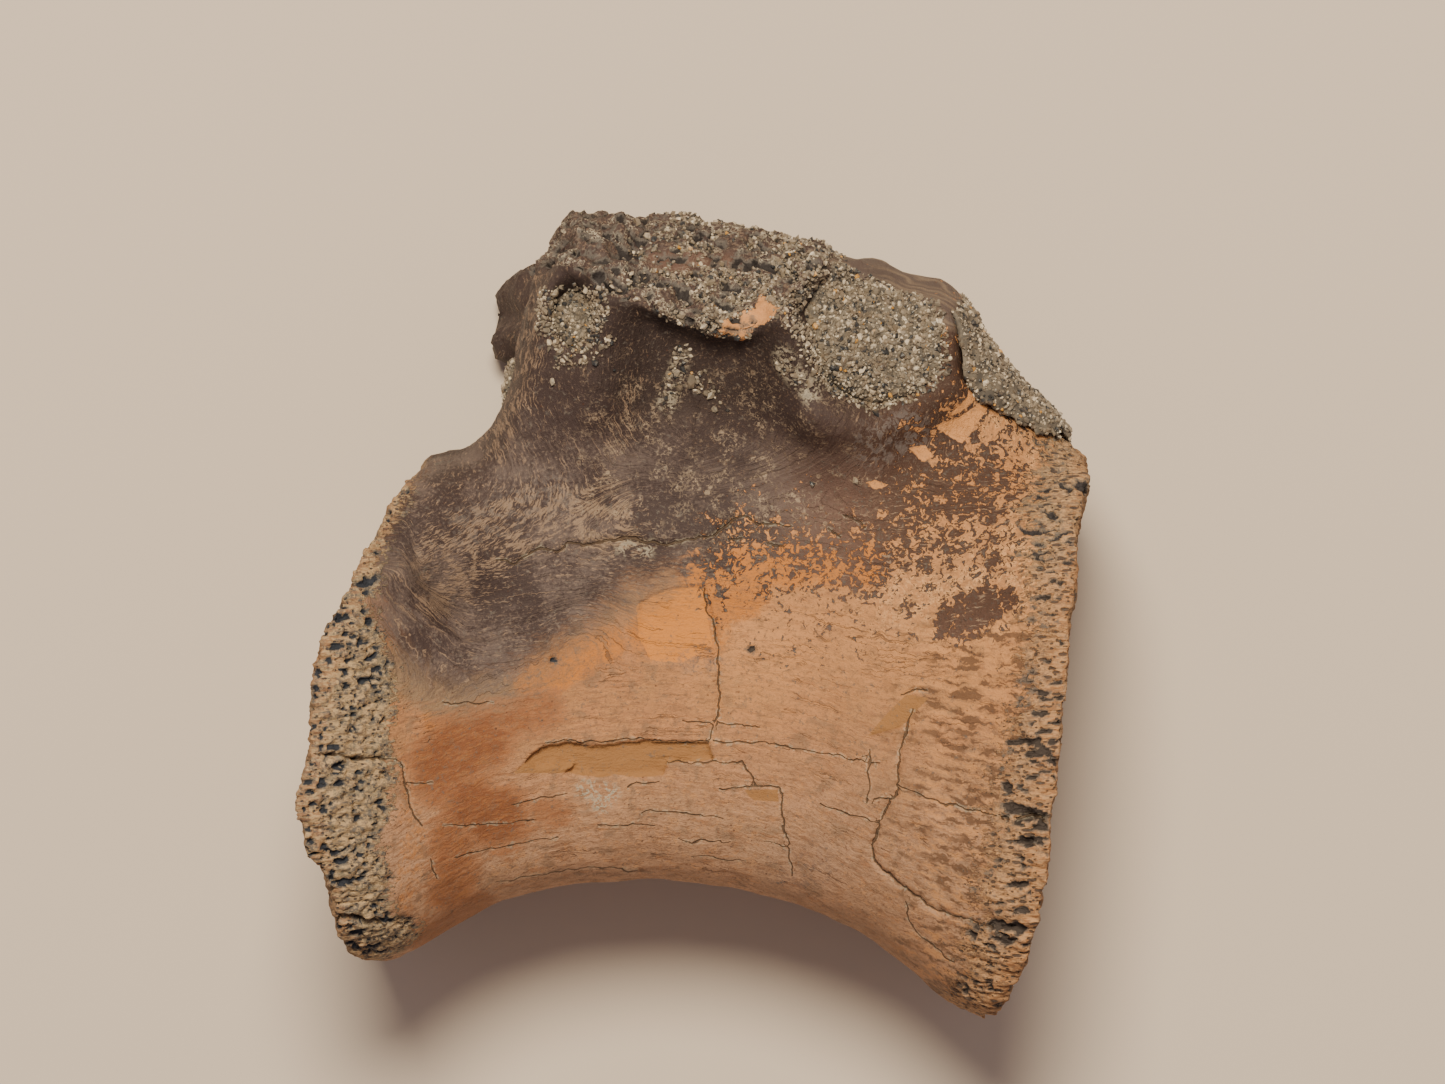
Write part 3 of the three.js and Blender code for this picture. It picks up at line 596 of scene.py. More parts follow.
def vectors(items, what):
    """One vector of each vertex or face of a mesh, as rows."""
    flat = np.empty(len(items) * 3)
    items.foreach_get(what, flat)
    return flat.reshape(-1, 3)


def places_of(mesh):
    return vectors(mesh.vertices, "co") / MM


def set_places(mesh, places):
    mesh.vertices.foreach_set("co", (places * MM).ravel())
    mesh.update()


def refine(piece, wanted):
    """Splits each face for which wanted(x, y, z, normal z) holds in four."""
    middles = vectors(piece.data.polygons, "center") / MM
    up = vectors(piece.data.polygons, "normal")[:, 2]
    chosen = np.flatnonzero(wanted(*middles.T, up))
    with editing(piece) as work:
        work.faces.ensure_lookup_table()
        edges = {edge for i in chosen for edge in work.faces[i].edges}
        bmesh.ops.subdivide_edges(work, edges=list(edges), cuts=1, use_grid_fill=True)


def sponge_gaps(x, y, left):
    """How far inside the open spongy bands of the front and the back rim a point is, in millimetres."""
    edge = np.where(left, along(SPONGE_EDGE, y, 1), even_front(y) + 5)
    back_width = 3.6 + 1.8 * smoothstep(-6, -20, y) + 1.4 * smoothstep(-2, 8, y)
    back_width = back_width + 1.5 * noise(y * 0.35, 0, 8.0) + 1.4 * noise(y * 1.1, 0, 9.0)
    return edge - x - 20 * smoothstep(14, 18, y), x + back_width - even_back(y) - 20 * smoothstep(17, 21, y)


def rim_band(x, y, left):
    """How far into the open spongy bone of either rim a point is, from 0 to 1."""
    wander = 0.8 * noise(x * 0.5, y * 0.5, 2.0) + 0.4 * noise(x * 1.3, y * 1.3, 4.0)
    front, back = sponge_gaps(x, y, left)
    return smoothstep(-0.5, 0.5, front + 0.5 * wander), smoothstep(-1.2, 1.2, back + wander)


def wants_fine(x, y, z, up):
    """The left flank, with its part of the break and of the spongy rims."""
    front, back = rim_band(x, y, True)
    return (z > MIDDLE - 3) & ((up > 0.15) | (on_break(x, y) > 0.4) | (front > 0.5) | (back > 0.7))


def wants_finest(x, y, z, up):
    """The left flank's cracks, flake edges and pores that the camera sees."""
    front, back = rim_band(x, y, True)
    sx, sy = seen_plane(x, y, z)
    seen = (z > MIDDLE) & (up > 0.2)
    gap, _, depth = crack_fields(sx, sy)
    close = ((np.abs(gap) < 0.3) & (depth > 0.1)) | (front > 0.6) | (back > 0.85)
    for outline, _ in SPALLS:
        close |= np.abs(inside(outline, sx, sy)) < 0.25
    for path, half_width in PITS:
        close |= nearest(path, sx, sy)[0] < half_width + 0.2
    return seen & close


# The crease of the swirl behind the front rim: the fibres above it curve round with it.
CREASE = [
    (-29.2, 12.0), (-29.0, 6.0), (-28.2, 2.9), (-25.3, 0.2), (-22.8, -1.7), (-20.7, -1.9), (-16.5, -0.9),
    (-10.1, 1.4), (-5.0, 3.0),
]


def flow(x, y):
    """Coordinates across and along the bone's fibres, in millimetres."""
    keel = along(KEEL, x)
    level = 45 * (y - keel) / (18 - keel) - 34
    # Towards the back rim they spread out evenly.
    spreading = 0.85 * (y - 2) / (1 + 0.012 * (x - 20)) - 2.6
    level = lerp(level, spreading, smoothstep(8, 22, x))
    # Above the centrum the fibres turn up into the arch, leaning to either side of its middle.
    side = np.where(x < 0, 1.0, -1.0)
    lean = np.radians(lerp(34, 84, smoothstep(6, 22, y)))
    from_x, from_y = x * side + np.where(x < 0, 19, 16), y - 7
    leaning = from_y * np.cos(lean) - from_x * np.sin(lean)
    start = np.where(x < 0, lerp(-1, 9, smoothstep(-20, -4, x)), 9)
    turned = smoothstep(start, start + 8, y)
    across = lerp(level, leaning, turned)
    away, share, other = nearest(CREASE, x, y)
    swirl = np.where(other > 0, smoothstep(1.8, 0.2, away), smoothstep(7.5, 2.5, away))
    swirl = swirl * smoothstep(0.0, 0.2, share) * smoothstep(1.0, 0.8, share)
    across = lerp(across, 1.1 * away * np.sign(other) - 9, swirl)
    lengthwise = lerp(x, from_x * np.cos(lean) + from_y * np.sin(lean), turned)
    return across, lerp(lengthwise, x + 0.8 * y, swirl)


def pores(x, y, z, size, seed, share, grouped):
    """Depth of separate pores, 0 to 1: size is their length along the three axes."""
    wander = 0.34 * noise(x * 1.1, y * 1.5, z * 1.5, seed)
    first, _, number = cells(x / size[0] + wander, y / size[1] + wander, z / size[2], seed)
    crowd = share + grouped * even_noise(x, y, z, 0.28, seed + 1)
    radius = 0.16 + 0.34 * scatter((number * 9999).astype(np.int64), 0, 0, seed)
    return smoothstep(0.06, -0.1, first - radius) * smoothstep(0.03, -0.03, number - crowd)


# Larger holes in the broken top of the arch: place and radius.
BREAK_HOLES = [(-5.8, 35.8, 0.9), (-7.0, 35.2, 0.7), (5.0, 34.3, 0.55), (12.8, 33.8, 0.5), (-0.2, 36.4, 0.6)]
# How far each kind of relief stands out or lies in at most, and where the notch and the spike are.
FIBRE_RELIEF = 0.05
FAN_RELIEF = 0.15
CREASE_RELIEF = 0.35
STUMP_LUMPS = 0.45
STUMP_NOTCH = 1.4
STUMP_NOTCH_Y = 30.4
STUMP_SPIKE = 1.0
STUMP_SPIKE_Y = 26.8
RIM_PORE_DEPTH = 0.5
BREAK_PORE_DEPTH = 0.9
PIT_DEPTH = 0.6


def bone_relief(x, y, z, up):
    """How far the bone's surface stands out at each point, and numbers of the surface for the material."""
    left = z > MIDDLE
    flank = smoothstep(0.05, 0.4, np.abs(up))
    sx, sy = seen_plane(x, y, z)
    sx, sy = np.where(left, sx, x), np.where(left, sy, y)
    front, back = rim_band(sx, sy, left)
    broken = on_break(x, y, 0.6)
    end_face = (1 - flank) * near_end(x, y)
    rim = clamp(np.maximum(front, 0.8 * back) * (0.3 + 0.7 * flank) + 0.5 * end_face)
    across, lengthwise = flow(x, y)
    relief = 0.2 * even_noise(x, y, z, 0.2, 1) + 0.07 * even_noise(x, y, z, 0.6, 2)
    # The worn edge of the right process: a blunt spike below and a notch over it.
    stump = smoothstep(13, 9, z) * smoothstep(20, 23, y) * smoothstep(4, 0, x)
    stump_edge = stump * smoothstep(-15, -18, x)
    relief += STUMP_LUMPS * stump * even_noise(x, y, z, 0.5, 41)
    relief -= STUMP_NOTCH * stump_edge * smoothstep(2.2, 0.3, np.abs(y - STUMP_NOTCH_Y))
    relief += STUMP_SPIKE * stump_edge * smoothstep(1.8, 0.0, np.abs(y - STUMP_SPIKE_Y))
    # Fibres along the bone, and the wider grooves that fan out towards the back rim.
    fibres = noise(across * 1.6, lengthwise * 0.12, 1.0, 3)
    fan = noise(across * 1.1, x * 0.09, 2.0, 4)
    back_fan = smoothstep(18, 29, x) * smoothstep(3, -6, y)
    relief += FIBRE_RELIEF * fibres * (1 - back_fan) + FAN_RELIEF * fan * back_fan
    # The fold along the swirl's crease, and the low roll under it.
    away, share, side = nearest(CREASE, x, y)
    folded = left * smoothstep(0.25, 0.4, share) * smoothstep(0.95, 0.75, share)
    relief -= CREASE_RELIEF * folded * smoothstep(0.9, 0.1, away)
    relief += CREASE_RELIEF * folded * (side < 0) * smoothstep(0.2, 1.4, away) * smoothstep(4.0, 1.6, away)
    # Open spongy bone.
    long = 1 + 0.9 * (x > 0)
    rim_hollow = np.maximum(pores(x / long, y, z, (2.2, 0.85, 1.6), 5, 0.36, 1.3),
                            0.9 * pores(x / long, y, z, (1.1, 0.6, 0.9), 25, 0.42, 1.3))
    rim_hollow = rim * rim_hollow
    grooves = noise(x * 0.55, y * 2.3, z * 1.6, 27)
    relief -= 0.3 * rim * smoothstep(0.05, 0.5, grooves)
    relief -= RIM_PORE_DEPTH * rim_hollow + 0.25 * rim * noise(x * 0.5, y * 1.2, z * 1.2, 6)
    relief += 0.15 * rim * noise(x * 0.9, y * 2.4, z * 2.0, 26)
    first, second, number = cells(x / 1.3, y / 1.0, z / 1.3, 7)
    break_hollow = broken * smoothstep(0.05, 0.3, second - first) * smoothstep(0.3, 0.5, number)
    for hole_x, hole_y, size in BREAK_HOLES:
        hole = np.hypot(x - hole_x, y - hole_y) / size + 0.25 * noise(x, y, z, 10)
        break_hollow = np.maximum(break_hollow, broken * (z > MIDDLE) * smoothstep(1.1, 0.6, hole))
    relief -= BREAK_PORE_DEPTH * break_hollow
    crags = 0.9 * even_noise(x, y, z, 0.4, 8) + 0.4 * even_noise(x, y, z, 1.1, 9)
    relief += broken * crags
    # Cracks and lost flakes of the left flank.
    gap, width, depth = crack_fields(sx, sy)
    shown = flank * left
    relief -= shown * depth * smoothstep(0.3, 0.0, np.abs(gap) - width)
    for outline, thickness in SPALLS:
        within = inside(outline, sx + 0.15 * noise(sx, sy, 1.5, 11), sy + 0.15 * noise(sx, sy, 5.5, 12))
        relief -= shown * thickness * smoothstep(-0.08, 0.14, within)
    pit = shown * pit_depth(sx, sy)
    relief -= PIT_DEPTH * pit
    return relief, {
        "hollow": clamp(rim_hollow + break_hollow + pit), "broken": broken,
        "crack": gap, "crack_width": np.where(shown > 0.5, width, -1.0),
        "across": across, "lengthwise": lengthwise,
    }


# ---------------------------------------------------------------------------------------------------------
# Stains, and painted shade on the arch: where the bone's colours lie on its flanks, as the camera sees the
# left one.

# Outline of the bone under the dark crust.
DARK_BONE = [
    (-29.4, 15.5), (-31.0, 12.9), (-32.6, 10.0), (-33.8, 7.5), (-34.4, 5.0), (-34.0, 2.0), (-32.4, -2.0),
    (-30.0, -5.6), (-26.0, -8.4), (-22.5, -8.6), (-19.1, -7.8), (-16.2, -6.0), (-12.8, -3.4), (-10.1, -1.8),
    (-7.8, 0.2), (-6.2, 1.7), (-2.5, 3.0), (0.7, 3.9), (3.0, 5.4), (6.0, 5.8), (9.4, 5.6), (14.4, 4.6),
    (18.4, 3.0), (23.4, 1.5), (29.5, 3.0), (37.5, 8.0), (39.0, 13.0), (38.0, 18.0), (31.5, 21.0),
    (31.5, 24.4), (31.5, 28.0), (32.0, 45.0), (-26.0, 45.0), (-30.0, 22.0), (-28.0, 18.0),
]
# Each stain: path, half width at its middle, strength.
ORANGE_STAINS = [
    ([(-25.6, -10.5), (-18.6, -9.3), (-13.6, -5.4), (-9.0, -3.0)], 2.3, 1.0),
    ([(-4.6, -1.6), (0.6, -2.0)], 3.2, 0.75),
    ([(0.6, 4.5), (6.0, 4.8), (12.0, 5.4), (17.0, 5.0)], 3.0, 0.9),
    ([(2.6, 1.2), (5.0, 1.6)], 2.6, 0.9),
    ([(-31.0, 9.0), (-32.4, 5.5), (-32.4, 2.5)], 0.8, 0.8),
    ([(-30.9, -2.5), (-30.0, -5.0), (-29.3, -7.8)], 1.0, 0.9),
    ([(20.0, 14.0), (26.0, 12.0), (31.0, 14.0)], 3.0, 0.45),
    ([(-29.0, -14.0), (-28.2, -22.0), (-29.5, -30.0)], 1.4, 0.35),
]
RUST_STAINS = [
    ([(-25.6, -15.6), (-24.0, -13.4), (-21.6, -12.6)], 3.6, 0.95),
    ([(-22.3, -19.0), (-19.8, -20.4)], 3.6, 1.0),
    ([(-24.6, -22.0), (-24.2, -25.0), (-24.6, -28.0)], 2.6, 0.75),
    ([(-27.5, -32.4), (-21.5, -29.2)], 1.8, 0.55),
    ([(-19.5, -10.6), (-15.5, -9.6)], 2.6, 0.7),
    ([(-15.0, -19.6), (-13.6, -20.2)], 1.6, 0.55),
]
DARK_BLOB = ([(26.0, -0.6), (29.8, 1.2)], 2.6, 1.0)
GREY_STAINS = [
    ([(17.6, 17.0), (21.4, 18.4)], 2.4, 1.0),
    ([(9.0, -25.5), (12.0, -25.0)], 3.0, 0.5),
    ([(-23.0, 9.0), (-14.0, 12.0)], 2.5, 0.5),
    ([(-1.0, -4.4), (1.6, -5.0)], 1.6, 0.5),
]
PALE_FLAKES = [
    [(23.7, 18.8), (26.6, 17.0), (27.6, 18.4), (29.8, 21.6), (31.4, 21.2), (30.4, 22.4), (28.4, 21.0),
     (26.2, 19.6)],
    [(25.0, 19.6), (27.0, 21.6), (28.0, 22.6), (28.2, 21.9), (26.8, 20.4)],
    [(21.2, 16.6), (22.8, 16.9), (23.9, 15.6), (22.6, 15.2)],
    [(16.8, 13.1), (17.8, 13.4), (19.2, 12.9), (17.9, 12.4)],
]
SMOOTH_PATCH = [
    (-6.0, 0.9), (-3.6, 2.1), (-2.4, 2.5), (0.7, 2.7), (1.0, 0.4), (1.6, -3.2), (-1.5, -4.9), (-4.6, -4.6),
    (-5.8, -2.2),
]
# Where the dark bone shows its fibres most.
BRUSHED = [
    ([(-26.5, 3.0), (-23.0, 6.5), (-16.0, 9.5), (-8.0, 9.0)], 4.2, 1.0),
    ([(-17.0, 33.0), (-17.6, 24.0), (-20.0, 18.0)], 2.4, 1.0),
    ([(-3.4, 27.0), (-5.0, 23.0), (-7.5, 18.0)], 2.4, 0.8),
    ([(8.6, 29.0), (11.0, 22.0)], 1.6, 0.6),
]
# Dust and loose grains caught on the dark bone, and the grains of gravel there: place and size.
DUSTED = [
    ([(-1.4, 26.2), (-2.2, 23.8), (-3.2, 21.3)], 0.9, 0.35),
    ([(0.2, 24.2), (1.6, 21.6)], 0.9, 0.25),
    ([(8.5, 25.5), (11.2, 22.2)], 0.8, 0.3),
    ([(-13.6, 24.9), (-10.4, 25.6), (-8.6, 27.4)], 0.6, 0.4),
    ([(27.8, 31.0), (28.3, 26.0), (29.6, 22.6), (31.8, 20.6), (36.0, 18.4)], 1.1, 1.0),
]
GRAVEL = [
    (-1.7, 22.6, 0.42), (-0.5, 23.3, 0.5), (0.2, 22.3, 0.3), (1.5, 21.9, 0.45), (1.7, 22.7, 0.28),
    (0.4, 24.1, 0.25), (-2.1, 23.8, 0.32), (-1.3, 24.4, 0.28), (-10.1, 25.2, 0.3), (-9.5, 26.7, 0.28),
    (-14.4, 23.3, 0.38), (15.9, 13.4, 0.4), (11.6, 13.0, 0.28), (-8.2, 24.4, 0.2), (3.1, 20.4, 0.2),
]
WHITE_STAINS = [
    ([(-11.2, -17.4), (-8.6, -17.9), (-9.6, -19.2)], 1.1, 1.0),
    ([(8.6, 25.5), (11.4, 22.0)], 1.2, 0.8),
    ([(-7.4, 6.6), (-4.8, 6.5)], 0.9, 0.7),
    ([(-1.4, 25.5), (-3.0, 21.0)], 0.9, 0.7),
]
FRESH_PATCHES = [
    LONG_FLAKE,
    [(17.2, -12.2), (20.4, -11.3), (23.2, -8.4), (21.0, -8.0), (19.0, -10.0)],
    [(4.7, -17.6), (8.1, -17.6), (8.2, -18.8), (5.6, -18.6)],
]
BREAK_ORANGE = [(1.7, 28.0), (2.5, 29.3), (5.2, 30.3), (6.7, 32.3), (8.2, 30.7), (7.3, 29.4), (4.7, 27.4)]
BREAK_RIDGE = ([(-4.6, 35.6), (-1.0, 35.3), (3.4, 35.2)], 0.9, 0.8)
BEIGE_STAIN = ([(-29.5, -5.6), (-25.5, -8.0), (-20.5, -8.2)], 3.4, 1.0)


def stain(places, x, y):
    """How strongly a list of stains colours each point."""
    strength = np.zeros(x.shape)
    for path, half_width, strong in places:
        distance = nearest(path, x, y)[0]
        strength = np.maximum(strength, strong * smoothstep(1.35 * half_width, 0.35 * half_width, distance))
    return strength


def patch(outlines, x, y):
    """How far inside any of some outlines each point is, in millimetres, up to two."""
    return np.clip(np.max([inside(outline, x, y) for outline in outlines], 0), -2, 2)


def stained_plane(x, y, z):
    """Where a point lies among the stains, which drift a little on the hidden flank."""
    def moved(seen, own, seed):
        drift = 3.0 * noise(x * 0.09, y * 0.09, z * 0.05, seed)
        return np.where(z > MIDDLE, seen, own + drift) + 0.5 * even_noise(x, y, z, 0.4, seed + 2)

    seen_x, seen_y = seen_plane(x, y, z)
    return moved(seen_x, x, 21), moved(seen_y, y, 22)


def sand_catch(x, y, z):
    """How much sand the broken top of the arch has caught at each point."""
    sx, sy = stained_plane(x, y, z)
    return on_break(x, y, 0.6) * smoothstep(-10, 2, sx - 0.5 * (sy - 33))


def bone_colours(x, y, z):
    """For each point, how much each colour of the bone and each painted shade on the arch shows there: a
    share, or for patches a distance.
    """
    left = z > MIDDLE
    flat_x, flat_y = seen_plane(x, y, z)
    sx, sy = stained_plane(x, y, z)
    ragged = smoothstep(-3, 2, sx) * smoothstep(-14, -3, sy)
    distance = inside(DARK_BONE, sx, sy)
    reach = lerp(4.2, 7.0, ragged)
    dark = clamp(0.5 + 0.5 * distance / reach, 0, 1.7)
    dark = dark * lerp(1, 0.62, smoothstep(16, 22, sx) * smoothstep(25, 19, sy))
    dark = dark * lerp(1, 0.7, smoothstep(30, 34, sx) * smoothstep(23, 18, sy))
    dark = np.maximum(dark, 0.9 * stain([DARK_BLOB], sx, sy))
    dark = np.maximum(dark, 1.3 * smoothstep(25, 21, z) * smoothstep(14, 20, y))
    specks = 0.24 * smoothstep(-2, 5, sx) * smoothstep(-8, 3, sy)
    calm = between(sx, -8, -3, 9, 17) * between(sy, 5, 9, 27, 32)
    front, back = sponge_gaps(sx, sy, left)
    below_crest = sy - along(CREST, x)

    def on_left(outlines):
        return np.where(left, patch(outlines, flat_x, flat_y), -2)

    return {
        "dark": np.maximum(dark, specks),
        "ragged": ragged,
        "brushed": np.maximum(stain(BRUSHED, sx, sy) * np.where(left, 1.0, 0.3) - 0.9 * calm, -0.9),
        "warm": smoothstep(4, 16, sx) * smoothstep(22, 8, sy),
        "flaked": smoothstep(13, 22, sx) * smoothstep(-5, 2, sy),
        # Painted shade under the ledge of the break: the crust is darkened there.
        "deep": smoothstep(-12, -6, sx) * smoothstep(14, 6, sx) * smoothstep(17, 23, sy),
        "orange": stain(ORANGE_STAINS, sx, sy),
        "rust": stain(RUST_STAINS, sx, sy),
        "grey": stain(GREY_STAINS, sx, sy),
        "flake": on_left(PALE_FLAKES),
        "fresh": on_left(FRESH_PATCHES),
        "smooth": on_left([SMOOTH_PATCH]),
        "break_orange": on_left([BREAK_ORANGE]),
        "white": stain(WHITE_STAINS, sx, sy),
        "ridge": stain([BREAK_RIDGE], sx, sy) * left,
        # Painted shade: the crust darker towards the top of the arch.
        "low": smoothstep(-8, -26, sy),
        "high": smoothstep(14, 23, sy),
        "below_crest": below_crest,
        "lamina": smoothstep(8, 11, sx) * smoothstep(-5.2, -3.4, below_crest) * smoothstep(30, 27, sx),
        "fan": smoothstep(14, 29, sx) * smoothstep(5, -3, sy),
        "beige": stain([BEIGE_STAIN], sx, sy),
        "edge": smoothstep(2.0, 0.6, sx - even_front(sy)) + smoothstep(-2.0, -0.8, sx - even_back(sy)),
        "sponge": np.clip(np.maximum(front, back), -4, 4),
        "sponge_back": np.where(back > front, lerp(1.0, 0.6, smoothstep(2, 8, sy)), 0.0),
        "fleck": between(sx, -16, -8, 12, 20) * between(sy, 4, 12, 20, 29),
    }


def sand_top(fossa, x, y):
    """Half width at a filling's top: level with the bone round it, and hollow at its upper edge."""
    total = np.zeros(x.shape)
    weights = np.zeros(x.shape)
    for corner_x, corner_y in fossa["outline"]:
        weight = 1 / (0.5 + (x - corner_x) ** 2 + (y - corner_y) ** 2) ** 1.5
        rim_half = bone_half(np.array([corner_x]), np.array([corner_y]), True)
        total += weight * np.minimum(fossa["most"], rim_half)
        weights += weight
    heights = [corner[1] for corner in fossa["outline"]]
    hollowed = fossa["deep"] * smoothstep(min(heights), max(heights), y)
    lump = 0.35 * noise(x * 0.35, y * 0.35, 1.0, 51) + 0.2 * noise(x * 0.9, y * 0.9, 1.0, 52)
    return total / weights + fossa["proud"] - hollowed + lump


def fossa_depth(x, y, half, fossa):
    floor = sand_top(fossa, x, y) - SUNK_BONE
    return np.maximum(0, half - floor) * smoothstep(0.2, 2.2, inside(fossa["outline"], x, y))


def set_numbers(mesh, numbers):
    """Keeps named numbers on a mesh's vertices for its material."""
    for name, values in numbers.items():
        layer = mesh.attributes.new(name, "FLOAT", "POINT")
        layer.data.foreach_set("value", np.asarray(values, np.float32))


def keep_in_box(places):
    return np.clip(places, np.array(cad_lo) / MM, np.array(cad_hi) / MM)


def build_bone():
    piece = make_object("bone", *bone_skin())
    process = make_object("process", *right_process())
    tube = make_object("tube", *canal_tube())
    for part in (piece, process, tube):
        turn_out(part)
    for part, operation in ((tube, "DIFFERENCE"), (process, "UNION")):
        apply_modifier(piece, "BOOLEAN", operation=operation, object=part, solver="EXACT")
        bpy.data.objects.remove(part)
    remesh(piece, CELL)
    smooth(piece, 4)
    places = places_of(piece.data)
    x, y, z = places.T
    half = np.abs(z - MIDDLE)
    up = vectors(piece.data.vertices, "normal")[:, 2]
    sink = fossa_depth(x, y, half, BACK_FOSSA) * (np.abs(up) > 0.1)
    sink = np.maximum(sink, fossa_depth(x, y, half, FRONT_FOSSA) * (up > 0.1))
    places[:, 2] -= np.sign(z - MIDDLE) * sink
    set_places(piece.data, places)
    refine(piece, wants_fine)
    refine(piece, wants_finest)
    smooth(piece, 2)
    places = places_of(piece.data)
    normals = vectors(piece.data.vertices, "normal")
    x, y, z = places.T
    relief, surface = bone_relief(x, y, z, normals[:, 2])
    colours = bone_colours(x, y, z)
    end_face = near_end(x, y) * smoothstep(0.55, 0.8, np.abs(normals[:, 0])) * smoothstep(17, 15, y)
    colours["sponge"] = lerp(colours["sponge"], 4.0, end_face)
    set_numbers(piece.data, {**colours, **surface, "end_face": end_face})
    set_places(piece.data, keep_in_box(places + normals * relief[:, None]))
    piece.data.shade_smooth()
    return piece


# ---------------------------------------------------------------------------------------------------------
# Sandstone: each CAD filling is covered with grains of sand on a lumpy bed.

def grain_shape():
    """A grain's corners and faces: an icosahedron of radius one."""
    work = bmesh.new()
    bmesh.ops.create_icosphere(work, subdivisions=1, radius=1)
    corners = np.array([vertex.co[:] for vertex in work.verts])
    faces = np.array([[vertex.index for vertex in face.verts] for face in work.faces])
    work.free()
    return corners, faces


GRAIN_CORNERS, GRAIN_FACES = grain_shape()
CORNERS_EACH = len(GRAIN_CORNERS)
GRAIN_SIZE = 0.17
GRAIN_ROUGHNESS = 0.22
GRAIN_STRETCH = 0.25
GRAIN_LIFT = 0.15
LOOSE_SAND_GAP = 0.31
# Points tried for each one kept, and how near over a grain bone hides it.
TRIES = 3
HIDING_REACH = 2.5
# The size of the remeshed cells of a filling, and how far its bed is lifted clear of the bone.
BED_CELL = 0.6
BED_RISE = 0.05


def grain_sizes(count, rng):
    return GRAIN_SIZE * rng.lognormal(0, 0.3, count).clip(0.55, 2.0)


def grains(points, normals, sizes, rng):
    """Irregular grains that sit on a surface: their corners and faces, and the shade at each corner."""
    count = len(points)
    corners = GRAIN_CORNERS * (1 + GRAIN_ROUGHNESS * rng.standard_normal((count, CORNERS_EACH, 1)))
    turn = np.linalg.qr(rng.standard_normal((count, 3, 3)))[0]
    stretch = 1 + GRAIN_STRETCH * rng.standard_normal((count, 1, 3))
    corners = np.einsum("nij,nkj->nki", turn, corners * stretch)
    middles = points + normals * sizes[:, None] * GRAIN_LIFT
    corners = corners * sizes[:, None, None] + middles[:, None, :]
    faces = GRAIN_FACES[None] + CORNERS_EACH * np.arange(count)[:, None, None]
    return corners.reshape(-1, 3), faces.reshape(-1, 3), np.repeat(rng.random(count), CORNERS_EACH)


def spread(mesh, gap, rng, wanted=None):
    """Points all over a mesh, about one gap apart, with the surface's normals."""
    mesh.calc_loop_triangles()
    corners = np.array([triangle.vertices[:] for triangle in mesh.loop_triangles])
    places = places_of(mesh)
    a, b, c = (places[corners[:, k]] for k in (0, 1, 2))
    facing = np.cross(b - a, c - a)
    area = np.linalg.norm(facing, axis=1) / 2
    facing = facing / (2 * area[:, None] + 1e-9)
    if wanted is not None:
        area = area * wanted((a + b + c) / 3, facing)
    tries = int(area.sum() / (gap * gap) * TRIES)
    chosen = rng.choice(len(area), tries, p=area / area.sum())
    u, v = rng.random(tries), rng.random(tries)
    u, v = np.where(u + v > 1, 1 - u, u)[:, None], np.where(u + v > 1, 1 - v, v)[:, None]
    points = a[chosen] + u * (b - a)[chosen] + v * (c - a)[chosen]
    slots = np.floor(points / gap).astype(np.int64)
    _, kept = np.unique(slots, axis=0, return_index=True)
    return points[kept], facing[chosen][kept]


def join_grains(name, bed_places, bed_faces, grain_parts):
    """One piece of a smooth bed and the flat-faced grains on it."""
    corners, faces, shades = grain_parts
    places = np.concatenate([bed_places, corners])
    all_faces = bed_faces + (faces + len(bed_places)).tolist()
    piece = make_object(name, keep_in_box(places), all_faces)
    on_bed = np.zeros(len(bed_places))
    set_numbers(piece.data, {"grain": np.concatenate([on_bed, np.ones(len(corners))]),
                             "shade": np.concatenate([on_bed, shades])})
    piece.data.polygons.foreach_set("use_smooth", np.arange(len(all_faces)) < len(bed_faces))
    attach(piece, "root")
    return piece


def keep_main_body(piece):
    """Deletes the specks that the remesh leaves beside a thin end."""
    with editing(piece) as work:
        seen = set()
        islands = []
        for start in work.verts:
            if start in seen:
                continue
            seen.add(start)
            island = [start]
            for corner in island:
                for edge in corner.link_edges:
                    other = edge.other_vert(corner)
                    if other not in seen:
                        seen.add(other)
                        island.append(other)
            islands.append(island)
        main = max(islands, key=len)
        specks = [corner for island in islands if island is not main for corner in island]
        bmesh.ops.delete(work, geom=specks, context="VERTS")


def sandstone(node, name, gap, seed, fossa=None):
    """Covers a CAD filling with sand, leaving out the grains that the bone hides."""
    rng = np.random.default_rng(seed)
    bed = put_in_scene("bed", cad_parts[node].data.copy())
    bed.matrix_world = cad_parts[node].matrix_world
    remesh(bed, BED_CELL)
    keep_main_body(bed)
    smooth(bed, 2)
    places = places_of(bed.data)
    x, y, z = places.T
    if fossa:
        share = (np.abs(z - MIDDLE) - fossa["floor"]) / (fossa["top"] - fossa["floor"])
        half = fossa["floor"] + share * (sand_top(fossa, x, y) - fossa["floor"])
        places[:, 2] = MIDDLE + np.sign(z - MIDDLE) * half
    else:
        lump = 0.35 * even_noise(x, y, z, 0.35, seed)
        lump += 0.25 * even_noise(x, y, z, 0.9, seed)
        places += vectors(bed.data.vertices, "normal") * (lump + BED_RISE)[:, None]
    set_places(bed.data, places)
    points, facing = spread(bed.data, gap, rng)
    shown = np.array([bone_tree.ray_cast(Vector((p + f * 0.1) * MM), Vector(f), HIDING_REACH * MM)[0] is None
                      for p, f in zip(points, facing)])
    points, facing = points[shown], facing[shown]
    faces = [face.vertices[:] for face in bed.data.polygons]
    piece = join_grains(name, places, faces, grains(points, facing, grain_sizes(len(points), rng), rng))
    bpy.data.objects.remove(bed)
    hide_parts(node)
    return piece


bone = build_bone()
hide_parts("vertebra_bone")
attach(bone, "root")

